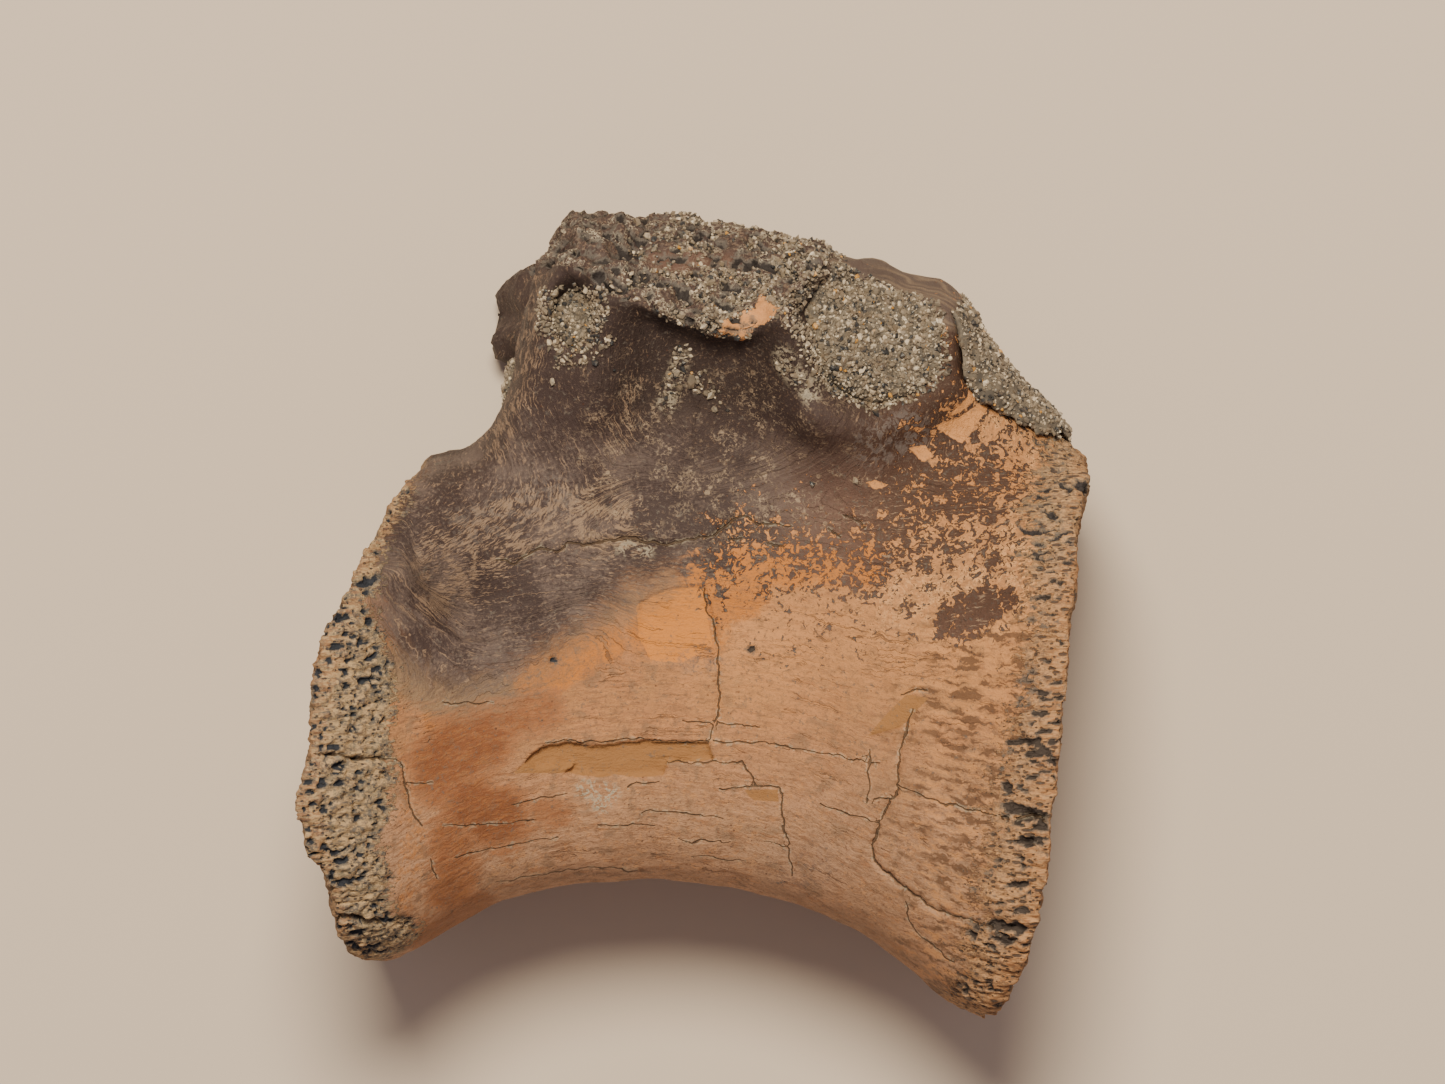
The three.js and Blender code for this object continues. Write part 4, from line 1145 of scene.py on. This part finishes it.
bone_tree = BVHTree.FromPolygons([corner.co for corner in bone.data.vertices],
                                 [face.vertices[:] for face in bone.data.polygons])
sand_pieces = [
    sandstone("sandstone_front_fossa", "sand_front_fossa", gap=0.28, seed=31, fossa=FRONT_FOSSA),
    sandstone("sandstone_back_fossa", "sand_back_fossa", gap=0.29, seed=32, fossa=BACK_FOSSA),
    sandstone("sandstone_far_fossa", "sand_far_fossa", gap=0.5, seed=33, fossa=BACK_FOSSA),
    sandstone("sandstone_canal", "sand_canal", gap=0.42, seed=34),
]


def gravel():
    """Where the grains of gravel lie on the left flank, the surface's normals there, and their sizes."""
    points, normals, sizes = [], [], []
    eye = Vector(CAMERA_PLACE) * MM
    for x, y, size in GRAVEL:
        ray = Vector((x, y, MIDDLE)) * MM - eye
        hit, normal, _, _ = bone_tree.ray_cast(eye, ray.normalized())
        points.append(np.array(hit) / MM)
        normals.append(np.array(normal))
        sizes.append(size)
    return points, normals, sizes


def loose_sand():
    """Sand caught in the broken top of the arch, round the edges of the sandstone and on the dark bone."""
    rng = np.random.default_rng(41)

    def wanted(middles, facing):
        x, y, z = middles.T
        left = z > MIDDLE
        clump = even_noise(x, y, z, 0.5, 42)
        colours = bone_colours(x, y, z)
        caught = sand_catch(x, y, z) * (z > MIDDLE - 8) * smoothstep(-0.15, 0.35, clump)
        caught = caught * (1 - colours["ridge"]) * (colours["break_orange"] < 0.2)
        rims = np.zeros(x.shape)
        for fossa in (FRONT_FOSSA, BACK_FOSSA):
            edge = inside(fossa["outline"], x, y) + 0.5 * clump
            upper = max(corner[1] for corner in fossa["outline"])
            band = smoothstep(-0.5, 0.0, edge) * smoothstep(1.6, 0.9, edge)
            rims = np.maximum(rims, band * smoothstep(upper - 1, upper - 3, y))
        dust = 0.45 * stain(DUSTED, *seen_plane(x, y, z))
        return np.maximum(caught, np.maximum(rims, dust) * left * (facing[:, 2] > 0))

    points, facing = spread(bone.data, LOOSE_SAND_GAP, rng, wanted)
    places, normals, sizes = gravel()
    points, facing = np.concatenate([points, places]), np.concatenate([facing, normals])
    sizes = np.concatenate([grain_sizes(len(points) - len(sizes), rng), sizes])
    return join_grains("sand_on_bone", np.zeros((0, 3)), [], grains(points, facing, sizes, rng))


sand_pieces.append(loose_sand())


# ---------------------------------------------------------------------------------------------------------
# Materials.

class Value:
    """A value in a material. Arithmetic on it adds a math node."""

    def __init__(self, shader, socket):
        self.shader = shader
        self.socket = socket

    def __add__(self, other):
        return self.shader.math("ADD", self, other)

    def __sub__(self, other):
        return self.shader.math("SUBTRACT", self, other)

    def __rsub__(self, other):
        return self.shader.math("SUBTRACT", other, self)

    def __mul__(self, other):
        return self.shader.math("MULTIPLY", self, other)


class Shader:
    """A material's nodes. Each call adds a node and returns its result."""

    def __init__(self, name):
        self.material = bpy.data.materials.new(name)
        self.material.use_nodes = True
        self.tree = self.material.node_tree
        self.surface = self.tree.nodes["Principled BSDF"].inputs
        self.numbers = {}
        metres = self.add("ShaderNodeTexCoord", output="Object")
        self.place = self.add("ShaderNodeVectorMath", {0: metres, "Scale": 1 / MM}, operation="SCALE")

    def add(self, kind, inputs=(), output=0, **settings):
        node = self.tree.nodes.new(kind)
        for key, value in settings.items():
            setattr(node, key, value)
        for key, value in dict(inputs).items():
            self.feed(node.inputs[key], value)
        return Value(self, node.outputs[output])

    def feed(self, socket, value):
        if isinstance(value, Value):
            self.tree.links.new(value.socket, socket)
        elif isinstance(value, tuple) and socket.type == "RGBA":
            socket.default_value = (*value, 1)
        else:
            socket.default_value = value

    def number(self, name):
        """The number that the mesh's vertices keep under this name."""
        if name not in self.numbers:
            self.numbers[name] = self.add("ShaderNodeAttribute", output="Fac", attribute_name=name)
        return self.numbers[name]

    def math(self, operation, first, second=0.0):
        return self.add("ShaderNodeMath", {0: first, 1: second}, operation=operation)

    def step(self, value, low, high):
        return self.add("ShaderNodeMapRange", enumerate((value, low, high)), interpolation_type="SMOOTHSTEP")

    def vector(self, x, y, z):
        return self.add("ShaderNodeCombineXYZ", enumerate((x, y, z)))

    def stretched(self, x, y, z):
        return self.add("ShaderNodeVectorMath", {0: self.place, 1: (x, y, z)}, operation="MULTIPLY")

    def lines(self, value, half_width):
        """Thin winding lines where a noise crosses its middle."""
        return self.step(self.math("ABSOLUTE", value - 0.5), half_width, 0.3 * half_width)

    def noise(self, place, scale, detail=3.0, rough=0.55, distortion=0.0):
        return self.add("ShaderNodeTexNoise", {"Vector": place, "Scale": scale, "Detail": detail,
                                               "Roughness": rough, "Distortion": distortion})

    def spots(self, place, scale):
        """Distance to the nearest of many scattered points, in cells."""
        return self.add("ShaderNodeTexVoronoi", {"Vector": place, "Scale": scale}, "Distance")

    def mix(self, share, under, over):
        """One colour over another. A mix node's colours are its inputs 6 and 7 and its output 2."""
        return self.add("ShaderNodeMix", {0: share, 6: under, 7: over}, 2, data_type="RGBA")

    def coats(self, colour, layers):
        """Lays colours over one another, each with its share."""
        for coat, share in layers:
            colour = self.mix(share, colour, coat)
        return colour

    def finish(self, colour, roughness):
        self.feed(self.surface["Base Color"], colour)
        self.feed(self.surface["Roughness"], roughness)
        return self.material

    def bump(self, height, distance, strength):
        heights = {"Height": height, "Distance": distance * MM, "Strength": strength}
        self.feed(self.surface["Normal"], self.add("ShaderNodeBump", heights))


# Colours, as linear red, green and blue.
TAN = (0.395, 0.192, 0.088)
TAN_PINK = (0.450, 0.205, 0.095)
TAN_BROWN = (0.210, 0.115, 0.068)
TAN_GREY = (0.450, 0.295, 0.205)
GREY_STAIN = (0.175, 0.130, 0.095)
PEACH = (0.640, 0.300, 0.115)
ORANGE = (0.480, 0.178, 0.042)
RUST = (0.205, 0.078, 0.036)
RUST_LIGHT = (0.330, 0.145, 0.070)
DASH = (0.128, 0.068, 0.040)
HAIRLINE = (0.110, 0.060, 0.038)
PURPLE_BROWN = (0.052, 0.035, 0.034)
# Painted shade: the crust's brown as darkened under the ledge of the break.
LEDGE_SHADE_BROWN = (0.034, 0.023, 0.021)
GREY_BROWN = (0.122, 0.090, 0.082)
GREY_BEIGE = (0.190, 0.138, 0.100)
RED_BROWN = (0.132, 0.074, 0.056)
STREAK = (0.300, 0.205, 0.140)
PATINA = (0.165, 0.138, 0.132)
CREAM = (0.470, 0.330, 0.185)
SPONGE_TAN = (0.500, 0.280, 0.140)
SAND_GREY = (0.190, 0.165, 0.120)
BLUE_GREY = (0.100, 0.096, 0.094)
BEIGE = (0.260, 0.175, 0.108)
PORE = (0.030, 0.034, 0.046)
PORE_BROWN = (0.058, 0.045, 0.040)
PORE_EDGE = (0.125, 0.115, 0.105)
PIT = (0.030, 0.025, 0.025)
BREAK_BROWN = (0.062, 0.040, 0.037)
PALE = (0.470, 0.410, 0.310)
SPECK = (0.080, 0.036, 0.024)
CRACK = (0.075, 0.048, 0.030)
FRESH = (0.305, 0.148, 0.056)
SMOOTH = (0.610, 0.235, 0.052)
RIDGE = (0.140, 0.080, 0.062)
CRUST = (0.048, 0.027, 0.020)
CRUST_EDGE = (0.066, 0.034, 0.023)
LIGHT_PEACH = (0.720, 0.400, 0.190)
FLECK = (0.420, 0.320, 0.225)
LAMINA = (0.092, 0.066, 0.060)
SAND_BED = (0.085, 0.072, 0.060)
SAND_BED_LIGHT = (0.17, 0.142, 0.11)
SAND_BROWN = (0.132, 0.107, 0.082)
SAND_TAN = (0.245, 0.200, 0.148)
SAND_PALE = (0.55, 0.47, 0.36)
SAND_BLACK = (0.030, 0.031, 0.035)
SAND_WARM = (0.22, 0.155, 0.10)
SAND_DIM = (0.085, 0.078, 0.070)
SAND_AMBER = (0.50, 0.26, 0.06)


class BoneShader(Shader):
    """The bone's shader, with the noises and the masks that several of its layers share."""

    def __init__(self):
        super().__init__("fossil_bone")
        wobble = self.noise(self.place, 0.9, 3.0, 0.6)
        self.across = self.number("across") + (wobble - 0.5) * 0.9
        self.fibres = self.streaks(0.14, 0.0, 2.4, 5.0, 0.65)
        self.fine_fibres = self.streaks(0.13, 0.0, 4.2, 4.0, 0.68)
        self.cloud = self.noise(self.place, 0.16, 4.0, 0.55)
        self.broad = self.noise(self.place, 0.5, 3.0, 0.55, 0.4)
        self.mottle = self.noise(self.place, 1.35, 4.0, 0.62, 0.9)
        self.flecked = self.noise(self.place, 3.0, 4.0, 0.68, 0.3)
        self.strands = self.noise(self.stretched(0.4, 1.5, 1.0), 2.2, 4.0, 0.68)
        hair = self.streaks(0.05, 4.0, 1.1, 2.0, 0.5, 0.1)
        self.hairline = self.lines(hair, 0.007) * self.step(self.cloud, 0.5, 0.58)
        curl = self.noise(self.place, 1.7, 2.0, 0.5, 0.5)
        self.curls = self.lines(curl, 0.05) * self.step(self.broad, 0.42, 0.6)
        self.is_broken = self.step(self.number("broken"), 0.3, 0.7)
        self.covered = self.crust_cover()
        self.small_pores = self.pores_of_sponge()
        self.is_spongy = self.sponge_cover()
        pore = self.mix(self.number("sponge_back"), PORE, PORE_BROWN)
        self.pore_colour = self.mix(self.is_broken, pore, PIT)

    def streaks(self, squeeze, layer, scale, detail, rough, distortion=0.0):
        """A noise drawn out along the bone's fibres."""
        place = self.vector(self.across, self.number("lengthwise") * squeeze, layer)
        return self.noise(place, scale, detail, rough, distortion)

    def crisp(self, name, fray=0.5):
        """A patch with sharp, slightly frayed edges, from the distance that the mesh keeps for it."""
        return self.step(self.number(name) + (self.mottle - 0.5) * fray, -0.05, 0.05)

    def crust_cover(self):
        """Where the dark crust is: brushed out towards the front rim, in patches towards the back."""
        ragged = self.number("ragged")
        patchy = (self.mottle * 0.62 + (self.broad * 0.2 + self.flecked * 0.18) - 0.5) * 4.6
        brushy = (self.fine_fibres - 0.5) * 0.9
        swing = patchy * ragged + brushy * (1.0 - ragged)
        softness = ragged * -0.36 + 0.40
        return self.step(self.number("dark") + swing, 0.5 - softness, softness + 0.5)

    def pores_of_sponge(self):
        """The pores that are too small for the mesh: round ones, and long ones in the back rim."""
        small = self.spots(self.stretched(1.0, 1.6, 1.2), 1.25) + self.flecked * 0.35
        small = self.step(small, 0.46, 0.36) * self.step(self.mottle, 0.40, 0.48)
        long = self.spots(self.stretched(0.5, 1.6, 1.2), 1.1) + self.flecked * 0.4
        long = self.step(long, 0.54, 0.43) * self.step(self.number("sponge_back"), 0.1, 0.4)
        return self.math("MAXIMUM", small, long)

    def sponge_cover(self):
        """Where spongy bone is open, more frayed towards the back."""
        fray = self.number("sponge_back") * 8.0 + 6.5
        frayed = self.number("sponge") + (self.strands - 0.5) * fray + (self.mottle - 0.5) * 5.0
        return self.step(frayed, -0.35, 0.35)


def bare_bone(s):
    """Bone without its crust: tan, pinker and browner in clouds, streaked along its fibres, and stained."""
    tan = s.mix(s.step(s.cloud, 0.38, 0.62), TAN, TAN_PINK)
    orange = s.number("orange") + (s.mottle - 0.5) * 1.4
    beige = s.number("beige") + (s.fine_fibres - 0.5) * 1.2
    rust = s.number("rust") + ((s.fibres - 0.5) * 1.5 + (s.mottle - 0.5) * 0.7)
    dashes = s.streaks(0.24, 6.0, 1.5, 4.0, 0.62)
    fan = s.step(s.number("fan") + (s.broad - 0.5) * 1.6, 0.1, 0.9)
    return s.coats(tan, [
        (TAN_GREY, s.number("low") * 0.6),
        (TAN_BROWN, s.step(s.fibres, 0.46, 0.68) * 0.55),
        (PEACH, s.step(s.mottle, 0.5, 0.62) * 0.4),
        (GREY_STAIN, s.step(s.broad, 0.54, 0.66) * 0.5),
        (PEACH, s.number("ragged") * 0.6),
        (TAN_BROWN, s.number("warm") * 0.18),
        (LIGHT_PEACH, s.number("flaked") * (s.step(s.mottle, 0.44, 0.54) * 0.75)),
        (ORANGE, s.step(orange, 0.15, 0.8) * 0.9),
        (BEIGE, s.step(beige, 0.1, 1.0) * 0.9),
        (RUST_LIGHT, s.step(rust, -0.05, 0.5) * 0.9),
        (RUST, s.step(rust, 0.4, 1.0) * 0.95),
        (ORANGE, s.step(rust, 0.2, 0.8) * s.step(s.fine_fibres, 0.50, 0.62) * 0.45),
        (TAN_BROWN, s.step(s.fine_fibres, 0.53, 0.66) * 0.55),
        (TAN_BROWN, s.step(s.flecked, 0.53, 0.63) * 0.55),
        (TAN_BROWN, s.step(s.noise(s.place, 1.0, 6.0, 0.75), 0.52, 0.62) * 0.4),
        (PEACH, fan * (s.step(dashes, 0.49, 0.42) * 0.5)),
        (DASH, fan * (s.step(dashes, 0.51, 0.57) * 0.88)),
        (SMOOTH, s.crisp("smooth") * 0.9),
        (RUST, s.step(s.flecked, 0.62, 0.66) * s.step(s.broad, 0.5, 0.6) * 0.75),
        (HAIRLINE, s.hairline * 0.7),
    ])


def dark_crust(s):
    """The crust's colour: brown, greyer in clouds, with pale streaks along its fibres, and painted shade
    towards the top of the arch and under the ledge of the break.
    """
    dusty = s.cloud + ((s.fine_fibres - 0.5) * 0.5 + (s.flecked - 0.5) * 0.5)
    clumped = s.step(s.broad, 0.38, 0.56)
    # Pale streaks fade towards the top of the arch, as part of its painted shade.
    brushed = s.number("brushed") * (clumped * 0.06 + 0.04) + clumped * 0.02 - s.number("high") * 0.025
    streaks = s.streaks(0.11, 9.0, 7.0, 3.0, 0.6) * 0.65 + s.fine_fibres * 0.35 + brushed
    below = s.vector(s.number("below_crest"), s.number("lengthwise") * 0.15, 7.0)
    layers = s.noise(below, 2.4, 5.0, 0.66)
    return s.coats(s.mix(s.step(dusty, 0.40, 0.64), PURPLE_BROWN, GREY_BROWN), [
        # Painted shade: darker towards the top of the arch.
        (PURPLE_BROWN, s.number("high") * 0.85),
        # Painted shade under the ledge of the break.
        (LEDGE_SHADE_BROWN, s.number("deep") * 0.8),
        (RED_BROWN, s.number("warm")),
        (CRUST_EDGE, s.number("flaked") * 0.8),
        (CRUST, s.number("ragged") * (s.step(s.flecked, 0.48, 0.62) * 0.55)),
        (STREAK, s.step(streaks, 0.57, 0.64) * 0.8),
        (STREAK, (1.0 - s.number("warm")) * s.step(s.flecked, 0.55, 0.68) * 0.35),
        (LAMINA, s.number("lamina")),
        (GREY_BEIGE, s.number("lamina") * s.step(layers, 0.42, 0.62)),
        (GREY_BEIGE, s.step(s.covered, 1.0, 0.3) * (1.0 - s.number("ragged"))),
    ])


def marks(s):
    """What lies on bare bone and crust alike: patina, flecks, white stains, specks and lost flakes."""
    dots = s.step(s.spots(s.place, 0.9) + s.mottle * 0.7, 0.57, 0.50)
    flecks = s.math("MINIMUM", s.curls * 0.5 + (dots + s.step(s.flecked, 0.58, 0.63)), 1.0)
    white = s.step(s.mottle * 0.6 + s.flecked * 0.4, 0.47, 0.55)
    return [
        (PATINA, s.number("grey") * s.step(s.mottle, 0.47, 0.56) * 0.7),
        (FLECK, flecks * (s.number("fleck") * s.step(s.broad, 0.45, 0.62)) * 0.65),
        (PALE, s.number("white") * white * 0.9),
        (SPECK, s.step(s.spots(s.place, 0.9) + s.cloud * 0.25, 0.22, 0.17) * 0.7),
        (FRESH, s.crisp("fresh", 0.2) * 0.9),
        (PEACH, s.crisp("flake", 0.6)),
    ]


def spongy_bone(s):
    """Open spongy bone of the rims and the worn ends: fibrous struts between dark pores."""
    back = s.number("sponge_back")
    end = s.number("end_face")
    inner = 1.0 - end * 0.65
    sandy = s.step(s.broad, 0.46, 0.58) * (back * -0.65 + 0.8)
    masses = s.noise(s.stretched(0.8, 1.7, 1.2), 1.0, 5.0, 0.66, 0.7)
    blue = s.step(masses, 0.48, 0.57) * (back * -0.45 + 0.9) * s.step(s.flecked, 0.40, 0.54)
    # The worn end faces are plainer: beige and tan in clouds, with fainter pores.
    worn = s.mix(s.step(s.cloud + (s.mottle - 0.5) * 0.4, 0.40, 0.62), BEIGE, TAN)
    worn = s.mix(s.step(s.flecked, 0.48, 0.64) * 0.5, worn, TAN_BROWN)
    return s.coats(s.mix(back, CREAM, SPONGE_TAN), [
        (s.mix(back, GREY_BEIGE, TAN_BROWN), s.step(s.strands, 0.47, 0.60) * 0.75),
        (SAND_GREY, sandy * s.step(s.flecked, 0.4, 0.55)),
        (BLUE_GREY, blue * inner),
        (ORANGE, s.number("edge") * inner * (s.step(s.strands, 0.4, 0.6) * 0.3)),
        (worn, end * 0.7),
        (s.pore_colour, s.small_pores * inner * 0.9),
    ])


def broken_bone(s):
    """The broken arch: dark cells with pale walls."""
    return s.coats(s.mix(s.step(s.mottle, 0.45, 0.58), BREAK_BROWN, LAMINA), [
        (STREAK, s.step(s.flecked, 0.52, 0.6) * 0.5),
        (PALE, s.curls * 0.85),
        (RIDGE, s.number("ridge")),
    ])


def bone_material():
    s = BoneShader()
    depth = s.number("hollow") + ((s.flecked - 0.5) * 0.8 + (s.mottle - 0.5) * 0.8)
    beside = s.math("ABSOLUTE", s.number("crack")) - s.number("crack_width")
    colour = s.coats(s.mix(s.covered, bare_bone(s), dark_crust(s)), [
        *marks(s),
        (spongy_bone(s), s.is_spongy * 0.95),
        (broken_bone(s), s.is_broken),
        (PEACH, s.crisp("break_orange", 1.2) * 0.9),
        (PORE_EDGE, s.step(depth, 0.05, 0.3) * 0.7),
        (s.pore_colour, s.step(depth, 0.35, 0.6)),
        # Cracks: a dark line with a pale fringe here and there.
        (PALE, s.step(beside, 0.35, 0.05) * s.step(s.mottle, 0.5, 0.6) * 0.4),
        (CRACK, s.step(beside, 0.05, -0.01) * 0.85),
    ])
    grit = s.noise(s.place, 7.0, 3.0, 0.6)
    height = (s.fibres * 0.5 + grit * 0.2 + s.fine_fibres * (s.number("brushed") * 0.5 + 0.4)
              + s.flecked * 0.4 + s.is_spongy * (s.strands + s.small_pores * -0.8) * 0.8
              + s.hairline * -0.4 + s.step(beside, 0.05, -0.03) * -0.6
              + s.covered * (s.number("ragged") * -0.25))
    s.bump(height, 0.3, 0.8)
    s.feed(s.surface["Specular IOR Level"], 0.22)
    return s.finish(colour, s.covered * -0.14 + 0.74 + (grit - 0.5) * 0.2)


def sand_material():
    """Sand on its bed: grains of several colours, each from its own random shade."""
    s = Shader("sandstone")
    shade = s.number("shade")
    grain = s.number("grain")
    mottle = s.noise(s.place, 0.7, 4.0, 0.6)
    bed = s.mix(s.step(mottle, 0.4, 0.6), SAND_BED, SAND_BED_LIGHT)
    colour = s.coats(s.mix(s.step(shade, 0.15, 0.7), SAND_BROWN, SAND_TAN), [
        (SAND_PALE, s.step(shade, 0.72, 0.94)),
        (SAND_BLACK, s.step(shade, 0.19, 0.15)),
        (SAND_WARM, s.step(mottle, 0.5, 0.62) * 0.4),
        (SAND_DIM, s.step(mottle, 0.44, 0.36) * 0.4),
        (SAND_AMBER, s.step(shade, 0.985, 0.99)),
    ])
    s.bump(s.noise(s.place, 6.0, 3.0, 0.6), 0.06, 0.6)
    return s.finish(s.mix(grain, bed, colour), grain * -0.45 + 0.85)


bone.data.materials.clear()
bone.data.materials.append(bone_material())
sand_look = sand_material()
for piece in sand_pieces:
    piece.data.materials.append(sand_look)


# ---------------------------------------------------------------------------------------------------------
# The floor, the light and the camera.

FLOOR_HALF = 900
FLOOR_COLOUR = (0.65, 0.555, 0.47)
KEY_PLACE = (-40, 295, 770)
KEY_TARGET = (0, -60, 20)
KEY_SIZE = 260
KEY_POWER = 10.3
KEY_COLOUR = (1.0, 0.878, 0.663)
SKY_COLOUR = (1.0, 0.84, 0.81)
SKY_STRENGTH = 0.317
SENSOR_WIDTH = 36


def make_floor():
    corners = [(FLOOR_HALF * x, FLOOR_HALF * y, 0) for x, y in ((-1, -1), (1, -1), (1, 1), (-1, 1))]
    floor = make_object("floor", corners, [(0, 1, 2, 3)])
    floor.data.materials.append(Shader("floor").finish(FLOOR_COLOUR, 0.8))


def make_key_light():
    lamp = bpy.data.lights.new("key", "AREA")
    lamp.shape = "DISK"
    lamp.size = KEY_SIZE * MM
    lamp.energy = KEY_POWER
    lamp.color = KEY_COLOUR
    holder = put_in_scene("key", lamp)
    holder.location = Vector(KEY_PLACE) * MM
    holder.rotation_euler = (Vector(KEY_TARGET) - Vector(KEY_PLACE)).to_track_quat("-Z", "Y").to_euler()


def make_sky():
    world = bpy.data.worlds.new("world")
    bpy.context.scene.world = world
    world.use_nodes = True
    background = world.node_tree.nodes["Background"].inputs
    background["Color"].default_value = (*SKY_COLOUR, 1)
    background["Strength"].default_value = SKY_STRENGTH


def make_camera():
    lens = bpy.data.cameras.new("camera")
    lens.sensor_width = SENSOR_WIDTH
    lens.lens = SENSOR_WIDTH * CAMERA_DISTANCE / SEEN_WIDTH
    lens.clip_start = 0.01
    holder = put_in_scene("camera", lens)
    holder.location = [value * MM for value in CAMERA_PLACE]
    bpy.context.scene.camera = holder


make_floor()
make_key_light()
make_sky()
make_camera()
